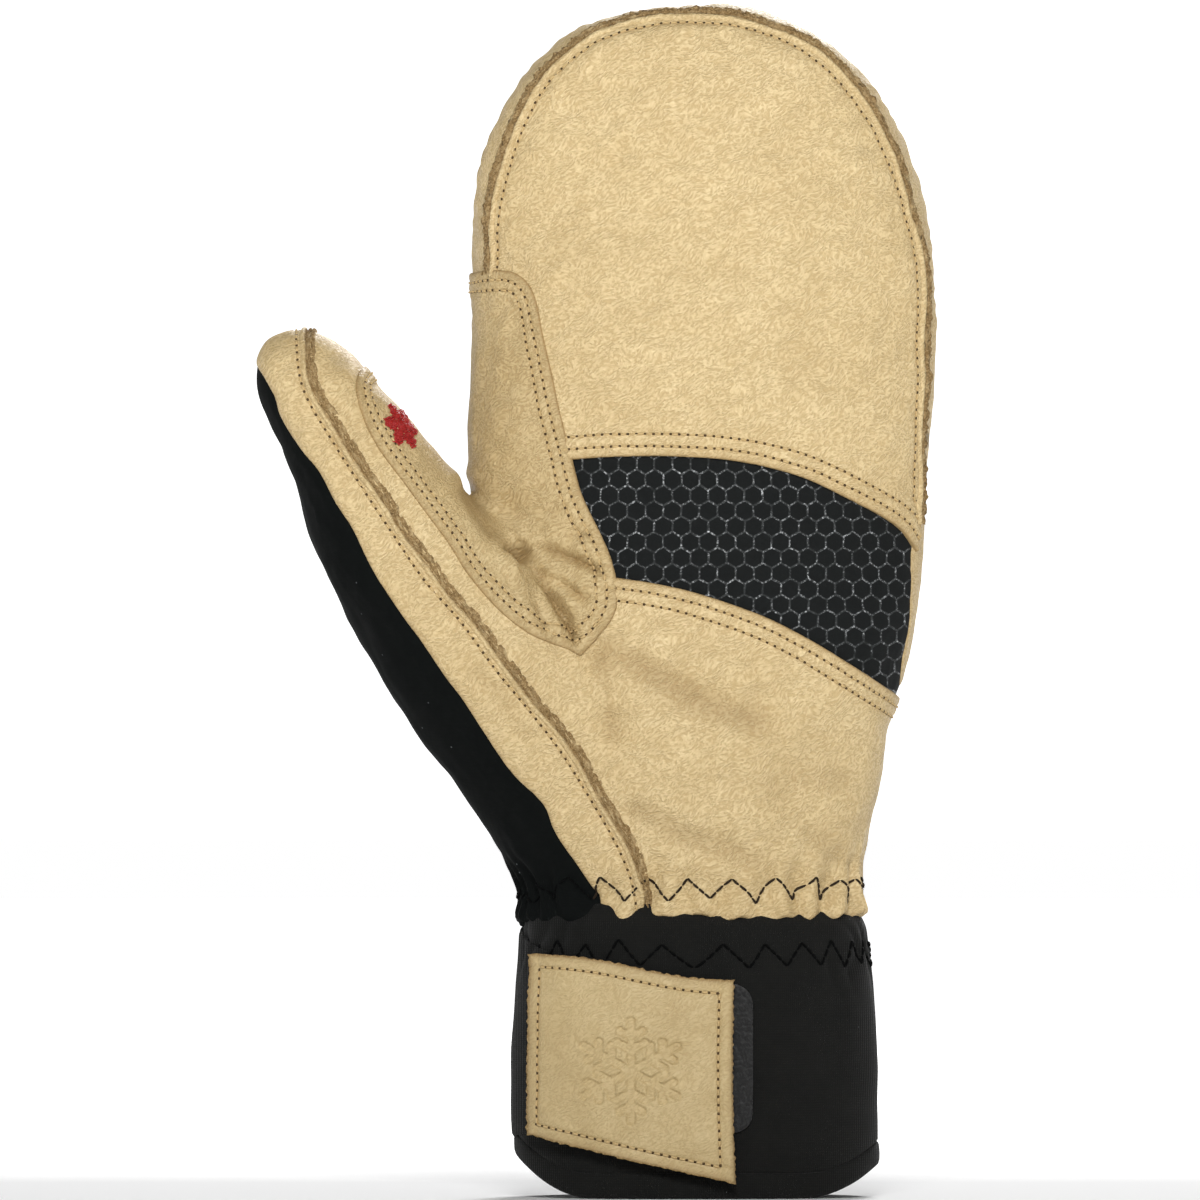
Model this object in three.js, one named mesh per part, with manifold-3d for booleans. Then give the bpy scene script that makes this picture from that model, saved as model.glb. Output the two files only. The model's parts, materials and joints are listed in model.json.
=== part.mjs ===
// Ski mitten for the left hand, standing on its cuff, palm towards -Y. Millimetres, +Z up towards the fingertips.
// Every layer is the space between two nested copies of the mitten's own form, and every panel is that layer
// cut to the panel's outline as it is seen from the palm side.
import * as THREE from "three";
import Module from "manifold-3d";
import { mergeVertices } from "three/addons/utils/BufferGeometryUtils.js";

const wasm = await Module();
wasm.setup();

// ---------- driving dimensions ----------
const LENGTH = 298.5; // cuff hem to fingertip
const GAP = 0.35; // clearance between neighbouring pieces
const FACET_TOLERANCE = 0.11; // facets flatter than this are merged
const SAME_POINT = 1e-4; // corners closer than this are one corner
const OVERSHOOT = 5; // an inner form runs this far past the end of the outer one that it hollows out

// How deep each layer lies under the outer surface, outer face and inner face. Negative stands proud.
const LEATHER = [0, 1.2];
const INSULATION = [1.6, 5.4];
const LINING = [5.8, 7.2];
const NEOPRENE = [0, 3];
const CUFF_FLEECE = [3.4, 4.9];

// The hand, without its thumb: at each height z, its left, right, palm-side and back-side limits.
const HAND_STATIONS = [
  [70, -20.5, 65, -25, 19],
  [86, -24, 66.5, -27, 20],
  [105, -28, 71, -29, 21],
  [130, -31, 75.5, -30, 22],
  [160, -32.5, 81.5, -31, 22],
  [190, -33, 83, -31, 21],
  [222, -31, 83.8, -31, 18],
];
const DOME_BASE = 222; // the fingertip dome starts here
const HAND_RINGS = [86, 108, 134, 162, 192, DOME_BASE];
const DOME_ANGLES = [0.4, 0.75, 1.05, 1.3, 1.5];
const TIP_ROUND = 26; // the fingertip's edge rounds off over this height
const TIP_CURL = 6; // the tip leans this far towards the palm

// The thumb is described along its own slanted axis: t runs up the thumb, s runs across it in the palm's plane.
const THUMB_UP = new THREE.Vector3(-0.55, 0, 0.835).normalize();
const THUMB_ACROSS = new THREE.Vector3(0.835, 0, 0.55).normalize();
const THUMB_STATIONS = [
  [76, 28, 66, -25, 15],
  [105, 25.2, 72, -32, 12],
  [131, 26.6, 72.5, -37, 8],
  [150, 27.2, 71.5, -40, 3],
  [170, 29, 69, -43, -2],
  [186, 31, 67.5, -45, -7],
  [200, 36, 66.3, -46, -11],
];
const THUMB_RINGS = [105, 131, 152, 174, 200];
const THUMB_TIP = 224;
const THUMB_DOME_ANGLES = [0.45, 0.85, 1.15, 1.4];
const THUMB_DOME_POWER = 0.85; // under 1 makes the thumb's tip blunter than a half ball
const THUMB_CUT = 166; // t of the line where the thumb bends from the hand

// The cuff: a neoprene tube of an oval section.
const CUFF_STATIONS = [
  [0, -20, 69, -33, 23],
  [8, -21.3, 70, -34, 24],
  [30, -21.5, 69.5, -34, 24],
  [52, -21.3, 68, -33, 23.5],
  [64, -20.5, 65.5, -31, 22],
  [69.5, -20.2, 64.8, -30, 21],
];
const HEM_HEIGHT = 9;
const CUFF_TOP = 69.5;

// ---------- solids ----------
// A closed solid from a list of rings with the same number of points, each end closed by a fan.
function loft(rings) {
  const count = rings[0].length;
  const points = rings.flat();
  const faces = [];
  for (let r = 0; r + 1 < rings.length; r++)
    for (let k = 0; k < count; k++) {
      const a = r * count + k;
      const b = r * count + ((k + 1) % count);
      faces.push(a, b, b + count, a, b + count, a + count);
    }
  for (const [ring, flip] of [[0, true], [rings.length - 1, false]]) {
    const middle = new THREE.Vector3();
    rings[ring].forEach((p) => middle.addScaledVector(p, 1 / count));
    points.push(middle);
    for (let k = 0; k < count; k++) {
      const a = ring * count + k;
      const b = ring * count + ((k + 1) % count);
      faces.push(...(flip ? [b, a] : [a, b]), points.length - 1);
    }
  }
  const geometry = new THREE.BufferGeometry().setFromPoints(points);
  geometry.setIndex(faces);
  return solidOf(geometry);
}

function solidOf(geometry) {
  const bare = new THREE.BufferGeometry();
  bare.setAttribute("position", geometry.getAttribute("position"));
  if (geometry.index) bare.setIndex(geometry.index);
  const merged = mergeVertices(bare, SAME_POINT);
  return new wasm.Manifold(
    new wasm.Mesh({
      numProp: 3,
      vertProperties: new Float32Array(merged.attributes.position.array),
      triVerts: new Uint32Array(merged.index.array),
    }),
  );
}

// An oval with slightly square shoulders, counter-clockwise seen from above.
function oval(segments, left, right, front, back, place) {
  const SQUARENESS = 0.86;
  const soften = (x) => Math.sign(x) * Math.abs(x) ** SQUARENESS;
  return Array.from({ length: segments }, (_, k) => {
    const angle = (2 * Math.PI * k) / segments;
    const across = soften(Math.cos(angle));
    const deep = soften(Math.sin(angle));
    return place(
      (left + right) / 2 + (across * (right - left)) / 2,
      (front + back) / 2 + (deep * (back - front)) / 2,
    );
  });
}

// Smoothly interpolated station values at a height.
function stationAt(stations, height) {
  const curve = new THREE.CubicInterpolant(
    stations.map((s) => s[0]),
    stations.flatMap((s) => s.slice(1)),
    stations[0].length - 1,
  );
  return [...curve.evaluate(height)];
}

const inset = ([left, right, front, back], by) => [left + by, right - by, front + by, back - by];

const HAND_SEGMENTS = 26;
const THUMB_SEGMENTS = 16;
const CUFF_SEGMENTS = 36;

function hand(by, foot = HAND_STATIONS[0][0]) {
  const rings = [];
  const ringAt = (height, section) =>
    rings.push(oval(HAND_SEGMENTS, ...section, (x, y) => new THREE.Vector3(x, y, height)));
  ringAt(foot, inset(HAND_STATIONS[0].slice(1), by));
  for (const height of HAND_RINGS) ringAt(height, inset(stationAt(HAND_STATIONS, height), by));
  const [left, right, front, back] = inset(stationAt(HAND_STATIONS, DOME_BASE), by);
  const rise = LENGTH - by - DOME_BASE;
  for (const angle of DOME_ANGLES) {
    const fromTop = rise * (1 - Math.sin(angle));
    const thin = Math.sqrt(1 - Math.max(0, 1 - fromTop / TIP_ROUND) ** 2);
    const middle = (front + back) / 2 - TIP_CURL * (1 - Math.cos(angle));
    const half = ((back - front) / 2) * thin;
    const reach = ((right - left) / 2) * Math.cos(angle);
    const centre = (left + right) / 2;
    ringAt(DOME_BASE + rise * Math.sin(angle), [centre - reach, centre + reach, middle - half, middle + half]);
  }
  return loft(rings);
}

const thumbPoint = (s, y, t) =>
  new THREE.Vector3(0, y, 0).addScaledVector(THUMB_ACROSS, s).addScaledVector(THUMB_UP, t);

function thumb(by, foot = THUMB_STATIONS[0][0]) {
  const rings = [];
  const ringAt = (t, section) =>
    rings.push(oval(THUMB_SEGMENTS, ...section, (s, y) => thumbPoint(s, y, t)));
  ringAt(foot, inset(THUMB_STATIONS[0].slice(1), by));
  for (const t of THUMB_RINGS) ringAt(t, inset(stationAt(THUMB_STATIONS, t), by));
  const last = THUMB_RINGS.at(-1);
  const [left, right, front, back] = inset(stationAt(THUMB_STATIONS, last), by);
  const rise = THUMB_TIP - by - last;
  for (const angle of THUMB_DOME_ANGLES) {
    const share = Math.cos(angle) ** THUMB_DOME_POWER;
    const section = [
      (left + right) / 2 - ((right - left) / 2) * share,
      (left + right) / 2 + ((right - left) / 2) * share,
      (front + back) / 2 - ((back - front) / 2) * share,
      (front + back) / 2 + ((back - front) / 2) * share,
    ];
    ringAt(last + rise * Math.sin(angle), section);
  }
  return loft(rings);
}

function cuff(by, low = 0, high = CUFF_TOP) {
  const heights = [low, ...CUFF_STATIONS.map((s) => s[0]).filter((z) => z > low + 1 && z < high - 1), high];
  return loft(
    heights.map((height) => {
      const inside = THREE.MathUtils.clamp(height, 0, CUFF_TOP);
      const section = inset(stationAt(CUFF_STATIONS, inside), by);
      return oval(CUFF_SEGMENTS, ...section, (x, y) => new THREE.Vector3(x, y, height));
    }),
  );
}

// A prism along Y over an outline drawn in x and z, between two depths, or right through the mitten.
const THROUGH = 120;
function prism(outline, from = -THROUGH, to = THROUGH) {
  const shape = new THREE.Shape(outline.map(([x, z]) => new THREE.Vector2(x, z)));
  const geometry = new THREE.ExtrudeGeometry(shape, { depth: to - from, bevelEnabled: false });
  geometry.rotateX(Math.PI / 2).translate(0, to, 0);
  return solidOf(geometry);
}

const FAR = 400;
const everythingIn = (from, to) => prism([[-FAR, -FAR], [FAR, -FAR], [FAR, FAR], [-FAR, FAR]], from, to);
const band = (low, high) => prism([[-FAR, low], [FAR, low], [FAR, high], [-FAR, high]]);

// ---------- seams, drawn on the palm side in x and z ----------
const SEAM_STEPS = 10;
const smooth = (points, steps = SEAM_STEPS) =>
  new THREE.SplineCurve(points.map(([x, z]) => new THREE.Vector2(x, z))).getPoints(steps).map((p) => [p.x, p.y]);

// The grip band's upper and lower edges, each run on straight past the mitten's sides.
const BAND_TOP = [
  [-80, 186], ...smooth([[-36, 187], [5, 185], [36, 183.5], [62, 174.5], [80, 163]]), [110, 140],
];
const BAND_BOTTOM = [
  [-80, 156], ...smooth([[-8, 156], [16, 152.5], [38, 146.5], [60, 134.5], [76, 121]]), [110, 92],
];

// The saddle wraps the crotch between the thumb and the index finger, and comes to a point on the palm.
const SADDLE = [
  [-80, 231.5],
  ...smooth([[-27, 231.5], [-17, 227], [-10.5, 199], [-4.5, 175], [4, 154]]),
  [3.7, 145.5], [-5.2, 135.3],
  ...smooth([[-19, 141.5], [-38, 164], [-54, 186], [-60.7, 202]], 7),
  [-61, 206], [-45, 212],
];

// The outseam runs down the thumb to the wrist, and the black back shows outside the outer edge.
const OUTSEAM = [
  [-75, 240], ...smooth([[-73, 216], [-65, 191], [-41.5, 155.4], [-7.6, 112.6], [10, 80], [12, 66]]), [12, 40],
];
const OUTER_EDGE = [
  [-96, 216],
  ...smooth([[-83.5, 206.5], [-79.5, 195], [-60, 162.5], [-31.8, 120.5], [-11.8, 92], [0.2, 68]]),
  [0.2, 40],
];

// The oval panel over the fingers stops this far inside the hand's outline, and the black one behind it
// further in.
const PALM_INSET = 3.4;
const FINGER_BACK_INSET = 13;
const ARCH_STEPS = 16;
const OVAL_SPREAD = [1.5, 0.5]; // the oval's left and right sides spread this far towards the wrist
const OVAL_FOOT = 40;
function fingerOval(inwards) {
  const [left, right] = stationAt(HAND_STATIONS, DOME_BASE);
  const half = (right - left) / 2 - inwards;
  const rise = LENGTH - DOME_BASE - inwards;
  const arch = Array.from({ length: ARCH_STEPS + 1 }, (_, k) => {
    const angle = (Math.PI * k) / ARCH_STEPS;
    return [(left + right) / 2 + half * Math.cos(angle), DOME_BASE + rise * Math.sin(angle)];
  });
  const feet = [arch.at(-1)[0] - OVAL_SPREAD[0], arch[0][0] + OVAL_SPREAD[1]];
  return prism([[feet[1], OVAL_FOOT], ...arch, [feet[0], OVAL_FOOT]]);
}

const above = (line, lift) => {
  const corners = [[FAR, line.at(-1)[1]], [FAR, FAR], [-FAR, FAR], [-FAR, line[0][1]]];
  return prism([...line.map(([x, z]) => [x, z + lift]), ...corners]);
};
const rightOf = (line, push) => {
  const corners = [[line.at(-1)[0], -FAR], [FAR, -FAR], [FAR, FAR], [line[0][0], FAR]];
  return prism([...line.map(([x, z]) => [x + push, z]), ...corners]);
};
const palmSide = (depth) => everythingIn(-FAR, depth);
const backSide = (depth) => everythingIn(depth, FAR);
const grown = (outline, by) => {
  const middle = outline.reduce(([x, z], p) => [x + p[0] / outline.length, z + p[1] / outline.length], [0, 0]);
  return outline.map(([x, z]) => {
    const away = Math.hypot(x - middle[0], z - middle[1]);
    return [x + ((x - middle[0]) / away) * by, z + ((z - middle[1]) / away) * by];
  });
};

// ---------- the three regions that bend from each other ----------
const mitten = (by, foot = HAND_STATIONS[0][0]) => hand(by, foot).add(thumb(by));
const layer = ([outer, inner]) => mitten(outer).subtract(mitten(inner, HAND_STATIONS[0][0] - OVERSHOOT));

// The thumb beyond its bending line, clear of the hand beside it.
function thumbRegion(grow) {
  const corner = (s, t) => [thumbPoint(s, 0, t).x, thumbPoint(s, 0, t).z];
  const low = THUMB_CUT - grow;
  const beyond = prism([corner(-FAR, low), corner(FAR, low), corner(FAR, low + FAR), corner(-FAR, low + FAR)]);
  return thumb(-OVERSHOOT).intersect(beyond).subtract(hand(grow - GAP));
}

function divide(whole) {
  const rest = whole.subtract(thumbRegion(GAP));
  return {
    thumb: whole.intersect(thumbRegion(0)),
    fingers: rest.intersect(above(BAND_TOP, 0)),
    hand: rest.subtract(above(BAND_TOP, -GAP)),
  };
}

// ---------- pieces ----------
const TAN = 0xdec695;
const SOFTSHELL = 0x161918;
const GRIP = 0x24262a;
const CUFF_BLACK = 0x1d1e1c;
const WADDING = 0xd8d8d2;
const FLEECE = 0x3a3c3e;
const ELASTIC = 0xe6e4dc;
const RED = 0x8c2420;
const CLOTH_ROUGHNESS = 0.9;
const TAN_ROUGHNESS = 0.55;
const GRIP_ROUGHNESS = 0.5;
const THREAD_ROUGHNESS = 0.7;
const pieces = new THREE.Group();

// Adds a solid as a named mesh, without any crumbs that its cuts left.
function piece(name, solid, colour, roughness = CLOTH_ROUGHNESS) {
  const [largest] = solid.decompose().sort((a, b) => b.volume() - a.volume());
  const mesh = largest.simplify(FACET_TOLERANCE).getMesh();
  const geometry = new THREE.BufferGeometry();
  geometry.setAttribute("position", new THREE.BufferAttribute(new Float32Array(mesh.vertProperties), 3));
  geometry.setIndex(new THREE.BufferAttribute(new Uint32Array(mesh.triVerts), 1));
  geometry.computeVertexNormals();
  const made = new THREE.Mesh(geometry, new THREE.MeshStandardMaterial({ color: colour, roughness, metalness: 0 }));
  made.name = name;
  pieces.add(made);
}

// How far round the side each panel reaches, as a depth.
const PALM_EDGE = -11; // palm panels stop here, just past the hand's edge
const BAND_EDGE = -15;
const HEEL_EDGE = -6;
const SIDE_EDGE = 4; // the little-finger side panel stops here
const SADDLE_EDGE = -2; // the saddle wraps the index finger's side to here
const THUMB_EDGE = -22; // the saddle wraps the thumb to here
const WADDING_SPLIT = -5;
const GRIP_START_X = -12; // the grip band starts here, under the saddle
const SIDE_START_X = 58; // the little-finger side panel lies to the right of here

function fingerPieces(leather, wadding, fleece) {
  const palm = (grow) => fingerOval(PALM_INSET - grow).intersect(palmSide(PALM_EDGE + grow));
  const saddle = (grow) => prism(grown(SADDLE, grow)).intersect(palmSide(SADDLE_EDGE + grow));
  const back = (grow) => fingerOval(FINGER_BACK_INSET - grow).intersect(backSide(-grow));
  piece("palm_finger_panel", leather.intersect(palm(0)).subtract(saddle(GAP)), TAN, TAN_ROUGHNESS);
  piece("saddle_index_side", leather.intersect(saddle(0)), TAN, TAN_ROUGHNESS);
  const wrap = leather.subtract(palm(GAP)).subtract(back(GAP)).subtract(saddle(GAP));
  piece("fingertip_wrap", wrap, TAN, TAN_ROUGHNESS);
  piece("finger_back_panel", leather.intersect(back(0)), SOFTSHELL);
  piece("finger_insulation_palm", wadding.intersect(palmSide(WADDING_SPLIT)), WADDING);
  piece("finger_insulation_back", wadding.intersect(backSide(WADDING_SPLIT + GAP)), WADDING);
  piece("finger_lining", fleece, FLEECE);
}

function handPieces(leather, wadding, fleece, elastic) {
  const saddle = (grow) => prism(grown(SADDLE, grow)).intersect(palmSide(SADDLE_EDGE + grow));
  const upToBand = (grow) => above(BAND_BOTTOM, -grow);
  const heel = (grow) =>
    rightOf(OUTSEAM, -grow).intersect(palmSide(HEEL_EDGE + grow)).subtract(upToBand(GAP - grow));
  const thenar = (grow) =>
    rightOf(OUTER_EDGE, -grow).subtract(rightOf(OUTSEAM, grow - GAP)).intersect(palmSide(HEEL_EDGE + grow));
  const beyondX = (x, grow) => upToBand(grow).intersect(rightOf([[x, FAR], [x, 0]], -grow));
  const grip = (grow) => beyondX(GRIP_START_X, grow).intersect(palmSide(BAND_EDGE + grow));
  const side = (grow) => beyondX(SIDE_START_X, grow).intersect(palmSide(SIDE_EDGE + grow));
  piece("saddle_web", leather.intersect(saddle(0)), TAN, TAN_ROUGHNESS);
  piece("grip_band", leather.intersect(grip(0)).subtract(saddle(GAP)), GRIP, GRIP_ROUGHNESS);
  piece("palm_heel_panel", leather.intersect(heel(0)).subtract(saddle(GAP)), TAN, TAN_ROUGHNESS);
  piece("thenar_panel", leather.intersect(thenar(0)).subtract(saddle(GAP)), TAN, TAN_ROUGHNESS);
  piece("little_finger_side_panel", leather.intersect(side(0)).subtract(grip(GAP)), TAN, TAN_ROUGHNESS);
  const back = [saddle, grip, heel, thenar, side].reduce((left, taken) => left.subtract(taken(GAP)), leather);
  piece("back_hand_panel", back, SOFTSHELL);
  piece("hand_insulation_palm", wadding.intersect(palmSide(WADDING_SPLIT)), WADDING);
  piece("hand_insulation_back", wadding.intersect(backSide(WADDING_SPLIT + GAP)), WADDING);
  piece("hand_lining", fleece, FLEECE);
  piece("wrist_elastic", elastic, ELASTIC);
}

// The emblem is a low embroidered disc on the side of the thumb that faces the index finger. It is punched along
// a line that turns this far from the palm's plane towards the palm side.
const EMBLEM = { s: 60, y: -34, t: 188, radius: 7, sides: 20, turn: 0.75, proud: [1, GAP] };

function thumbPieces(leather, wadding, fleece) {
  const saddle = (grow) => prism(grown(SADDLE, grow)).intersect(palmSide(THUMB_EDGE + grow));
  const tongue = (grow) => rightOf(OUTSEAM, -grow).intersect(palmSide(THUMB_EDGE + grow));
  const outer = (grow) => rightOf(OUTER_EDGE, -grow).intersect(palmSide(THUMB_EDGE + grow));
  piece("thumb_saddle_panel", leather.intersect(saddle(0)), TAN, TAN_ROUGHNESS);
  piece("thumb_palm_tongue", leather.intersect(tongue(0)).subtract(saddle(GAP)), TAN, TAN_ROUGHNESS);
  const beside = leather.subtract(tongue(GAP)).subtract(saddle(GAP));
  piece("thumb_outer_panel", beside.intersect(outer(0)), TAN, TAN_ROUGHNESS);
  piece("thumb_back_panel", beside.subtract(outer(GAP)), SOFTSHELL);
  piece("thumb_insulation", wadding, WADDING);
  piece("thumb_lining", fleece, FLEECE);

  const punch = new THREE.CylinderGeometry(EMBLEM.radius, EMBLEM.radius, 3 * EMBLEM.radius, EMBLEM.sides);
  const outwards = THUMB_ACROSS.clone().multiplyScalar(Math.cos(EMBLEM.turn));
  outwards.y = -Math.sin(EMBLEM.turn);
  punch.applyQuaternion(new THREE.Quaternion().setFromUnitVectors(new THREE.Vector3(0, 1, 0), outwards));
  const place = thumbPoint(EMBLEM.s, EMBLEM.y, EMBLEM.t);
  punch.translate(place.x, place.y, place.z);
  const film = thumb(-EMBLEM.proud[0]).subtract(thumb(-EMBLEM.proud[1], THUMB_STATIONS[0][0] - OVERSHOOT));
  piece("thumb_emblem", film.intersect(solidOf(punch)), RED, THREAD_ROUGHNESS);
}

// The strap and its pads lie on the front of the cuff, each this far proud of it.
const LOOP_PROUD = [1.1, 0.35];
const HOOK_PROUD = [2.3, 1.5];
const STRAP_PROUD = [4.3, 2.65];
const PATCH_PROUD = [5.9, 4.65];
const ANCHOR_PROUD = [4.3, 0.4];
const PATCH = [[-14.5, 60], [34.2, 53], [33.8, 4.5], [-15, 15.5]];
const STRAP_END_X = -14; // the strap turns about its sewn end here
const STRAP = [[STRAP_END_X, 59], [32.5, 52], [32.2, 6.5], [STRAP_END_X, 17]];
const HOOK = [[3, 48], [30, 45], [30, 20], [3, 25]];
const LOOP = [[4, 23], [35, 23], [38, 27], [38.5, 38], [38, 50], [35, 54], [4, 54]];
const ANCHOR = [[STRAP_END_X - GAP, 60], [-21, 66], [-60, 66], [-60, 14], [STRAP_END_X - GAP, 17]];
const CUFF_FRONT = -10; // the strap and its pads stay on the palm side of this depth
const ANCHOR_EDGE = 4; // the anchor wraps the cuff's side to here
const HEM_PROUD = 0.6; // the turned hem is thicker than the cuff, outside and inside
const HEM_INSIDE = 0.4;

function cuffPieces() {
  const film = ([outer, inner]) => cuff(-outer, 1, CUFF_TOP - 1).subtract(cuff(-inner, 0, CUFF_TOP));
  const onPalm = (outline) => prism(outline).intersect(palmSide(CUFF_FRONT));
  const tube = ([outer, inner], low, high) =>
    cuff(outer, low, high).subtract(cuff(inner, low - OVERSHOOT, high + OVERSHOOT));
  piece("cuff_shell", tube(NEOPRENE, HEM_HEIGHT + GAP, CUFF_TOP), CUFF_BLACK);
  piece("cuff_fleece", tube(CUFF_FLEECE, HEM_HEIGHT + GAP, CUFF_TOP), FLEECE);
  piece("cuff_hem", tube([-HEM_PROUD, CUFF_FLEECE[1] + HEM_INSIDE], 0, HEM_HEIGHT), CUFF_BLACK);
  piece("loop_pad", film(LOOP_PROUD).intersect(onPalm(LOOP)), CUFF_BLACK);
  piece("hook_pad", film(HOOK_PROUD).intersect(onPalm(HOOK)), CUFF_BLACK);
  piece("closure_strap", film(STRAP_PROUD).intersect(onPalm(STRAP)), CUFF_BLACK);
  piece("strap_patch", film(PATCH_PROUD).intersect(onPalm(PATCH)), TAN, TAN_ROUGHNESS);
  const anchor = prism(ANCHOR).intersect(palmSide(ANCHOR_EDGE));
  piece("strap_anchor", film(ANCHOR_PROUD).intersect(anchor), CUFF_BLACK);
}

// The elastic runs round the wrist in a groove of the insulation.
const ELASTIC_HEIGHTS = [76, 86];
const ELASTIC_THICKNESS = 1.5;
const leather = divide(layer(LEATHER));
const wadding = divide(layer(INSULATION));
const fleece = divide(layer(LINING));
const elasticLayer = (grow) =>
  layer([INSULATION[0] - grow, INSULATION[0] + ELASTIC_THICKNESS + grow]).intersect(
    band(ELASTIC_HEIGHTS[0] - grow, ELASTIC_HEIGHTS[1] + grow),
  );

fingerPieces(leather.fingers, wadding.fingers, fleece.fingers);
handPieces(leather.hand, wadding.hand.subtract(elasticLayer(GAP)), fleece.hand, elasticLayer(0));
thumbPieces(leather.thumb, wadding.thumb, fleece.thumb);
cuffPieces();

// The origin is the middle of the mitten's outline seen from above, at the hem.
const extent = new THREE.Box3().setFromObject(pieces);
const centre = extent.getCenter(new THREE.Vector3());
pieces.position.set(-centre.x, -centre.y, -extent.min.z);

export default pieces;
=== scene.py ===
"""Looks of a left-hand ski mitten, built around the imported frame.

Every table and length below is in millimetres, in the mitten's own drawing frame: x to the right, z up, -y out of
the palm. place() turns them into metres in the row frame.
"""
import json
import math
import bpy
import numpy as np
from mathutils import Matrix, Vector
from mathutils.bvhtree import BVHTree

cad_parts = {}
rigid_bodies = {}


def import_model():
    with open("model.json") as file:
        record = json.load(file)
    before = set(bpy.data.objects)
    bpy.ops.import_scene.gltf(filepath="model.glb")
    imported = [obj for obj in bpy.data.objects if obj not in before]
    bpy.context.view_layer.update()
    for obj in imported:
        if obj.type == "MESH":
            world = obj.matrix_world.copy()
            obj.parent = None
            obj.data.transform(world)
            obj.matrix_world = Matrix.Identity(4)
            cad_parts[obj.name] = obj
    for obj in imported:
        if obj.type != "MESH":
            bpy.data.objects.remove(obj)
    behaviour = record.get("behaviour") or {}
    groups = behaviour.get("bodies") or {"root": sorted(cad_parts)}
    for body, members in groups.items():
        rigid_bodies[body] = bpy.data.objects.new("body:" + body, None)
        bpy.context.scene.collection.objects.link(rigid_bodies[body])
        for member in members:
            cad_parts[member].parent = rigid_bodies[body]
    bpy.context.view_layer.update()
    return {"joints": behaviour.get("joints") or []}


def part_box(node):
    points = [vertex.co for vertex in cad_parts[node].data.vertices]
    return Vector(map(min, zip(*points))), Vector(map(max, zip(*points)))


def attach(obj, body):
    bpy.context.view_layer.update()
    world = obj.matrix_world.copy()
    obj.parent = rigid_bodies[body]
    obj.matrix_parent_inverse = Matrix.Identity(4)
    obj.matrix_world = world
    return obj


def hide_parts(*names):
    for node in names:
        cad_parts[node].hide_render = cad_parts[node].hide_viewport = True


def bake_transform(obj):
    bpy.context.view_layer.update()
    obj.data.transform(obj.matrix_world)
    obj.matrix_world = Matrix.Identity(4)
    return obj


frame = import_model()

MM = 0.001
FAR = 400.0
# The drawing frame's origin in the row frame, from two faces whose drawn places are known.
DRAWN_RIGHT_SIDE, DRAWN_HEM_BACK = 83.8, 24.65
ORIGIN = np.array([
    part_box("fingertip_wrap")[1].x / MM - DRAWN_RIGHT_SIDE,
    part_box("cuff_hem")[1].y / MM - DRAWN_HEM_BACK,
    0.0,
])


def place(points):
    """Drawing millimetres to row-frame metres."""
    return (np.asarray(points, float) + ORIGIN) * MM


# ---------- small maths ----------
def smoothstep(low, high, value):
    t = np.clip((value - low) / (high - low), 0, 1)
    return t * t * (3 - 2 * t)


def bell(value, width):
    return np.exp(-((value / width) ** 2))


def unit(vectors):
    return vectors / np.maximum(np.linalg.norm(vectors, axis=-1, keepdims=True), 1e-9)


def edges_of(cells):
    """The distinct edges of triangles or quads, and for each corner of each cell the edge that starts there."""
    ends = np.sort(np.stack([cells, np.roll(cells, -1, 1)], -1).reshape(-1, 2), 1)
    edges, which = np.unique(ends, axis=0, return_inverse=True)
    return edges, which.reshape(cells.shape)


def tube_faces(rings, sides, start=0):
    """Quads along rings of points."""
    ring, k = np.meshgrid(start + np.arange(rings - 1) * sides, np.arange(sides), indexing="ij")
    after = (k + 1) % sides
    return np.stack([ring + k, ring + after, ring + after + sides, ring + k + sides], -1).reshape(-1,
                                                                                                  4).tolist()


def tube_ends(rings, sides, start=0):
    last = start + (rings - 1) * sides
    return [[start + k for k in range(sides)], [last + k for k in reversed(range(sides))]]


def spline(points, per=10):
    """A smooth line through the points, as a dense polyline."""
    p = np.asarray(points, float)
    ends = np.vstack([2 * p[0] - p[1], p, 2 * p[-1] - p[-2]])
    t = np.linspace(0, 1, per, endpoint=False)[:, None]
    runs = []
    for a, b, c, d in zip(ends, ends[1:], ends[2:], ends[3:]):
        bent = (2 * a - 5 * b + 4 * c - d) * t**2 + (3 * b - a - 3 * c + d) * t**3
        runs.append(0.5 * (2 * b + (c - a) * t + bent))
    return np.vstack([*runs, p[-1:]])


def along(table, at):
    """Smoothly interpolated columns of a table whose first column is the height."""
    table = np.asarray(table, float)
    knots, values = table[:, 0], table[:, 1:]
    slopes = np.gradient(values, knots, axis=0)
    at = np.clip(at, knots[0], knots[-1])
    i = np.clip(np.searchsorted(knots, at) - 1, 0, len(knots) - 2)
    gap = knots[i + 1] - knots[i]
    t = ((at - knots[i]) / gap)[:, None]
    a, b = values[i], values[i + 1]
    da, db = slopes[i] * gap[:, None], slopes[i + 1] * gap[:, None]
    made = a * (1 + 2 * t) * (1 - t) ** 2 + b * t**2 * (3 - 2 * t) + da * t * (1 - t) ** 2 - db * t**2 * (1 - t)
    return made.T


def waves(points, wavelength, seed, count=14):
    """Soft noise of about unit size: plane waves in seeded directions."""
    draw = np.random.default_rng(seed)
    directions = unit(draw.normal(size=(count, 3))) * draw.uniform(0.7, 1.4, (count, 1))
    phases = draw.uniform(0, 2 * math.pi, count)
    return np.sin(points @ directions.T * (2 * math.pi / wavelength) + phases).sum(1) * math.sqrt(2 / count)


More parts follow.
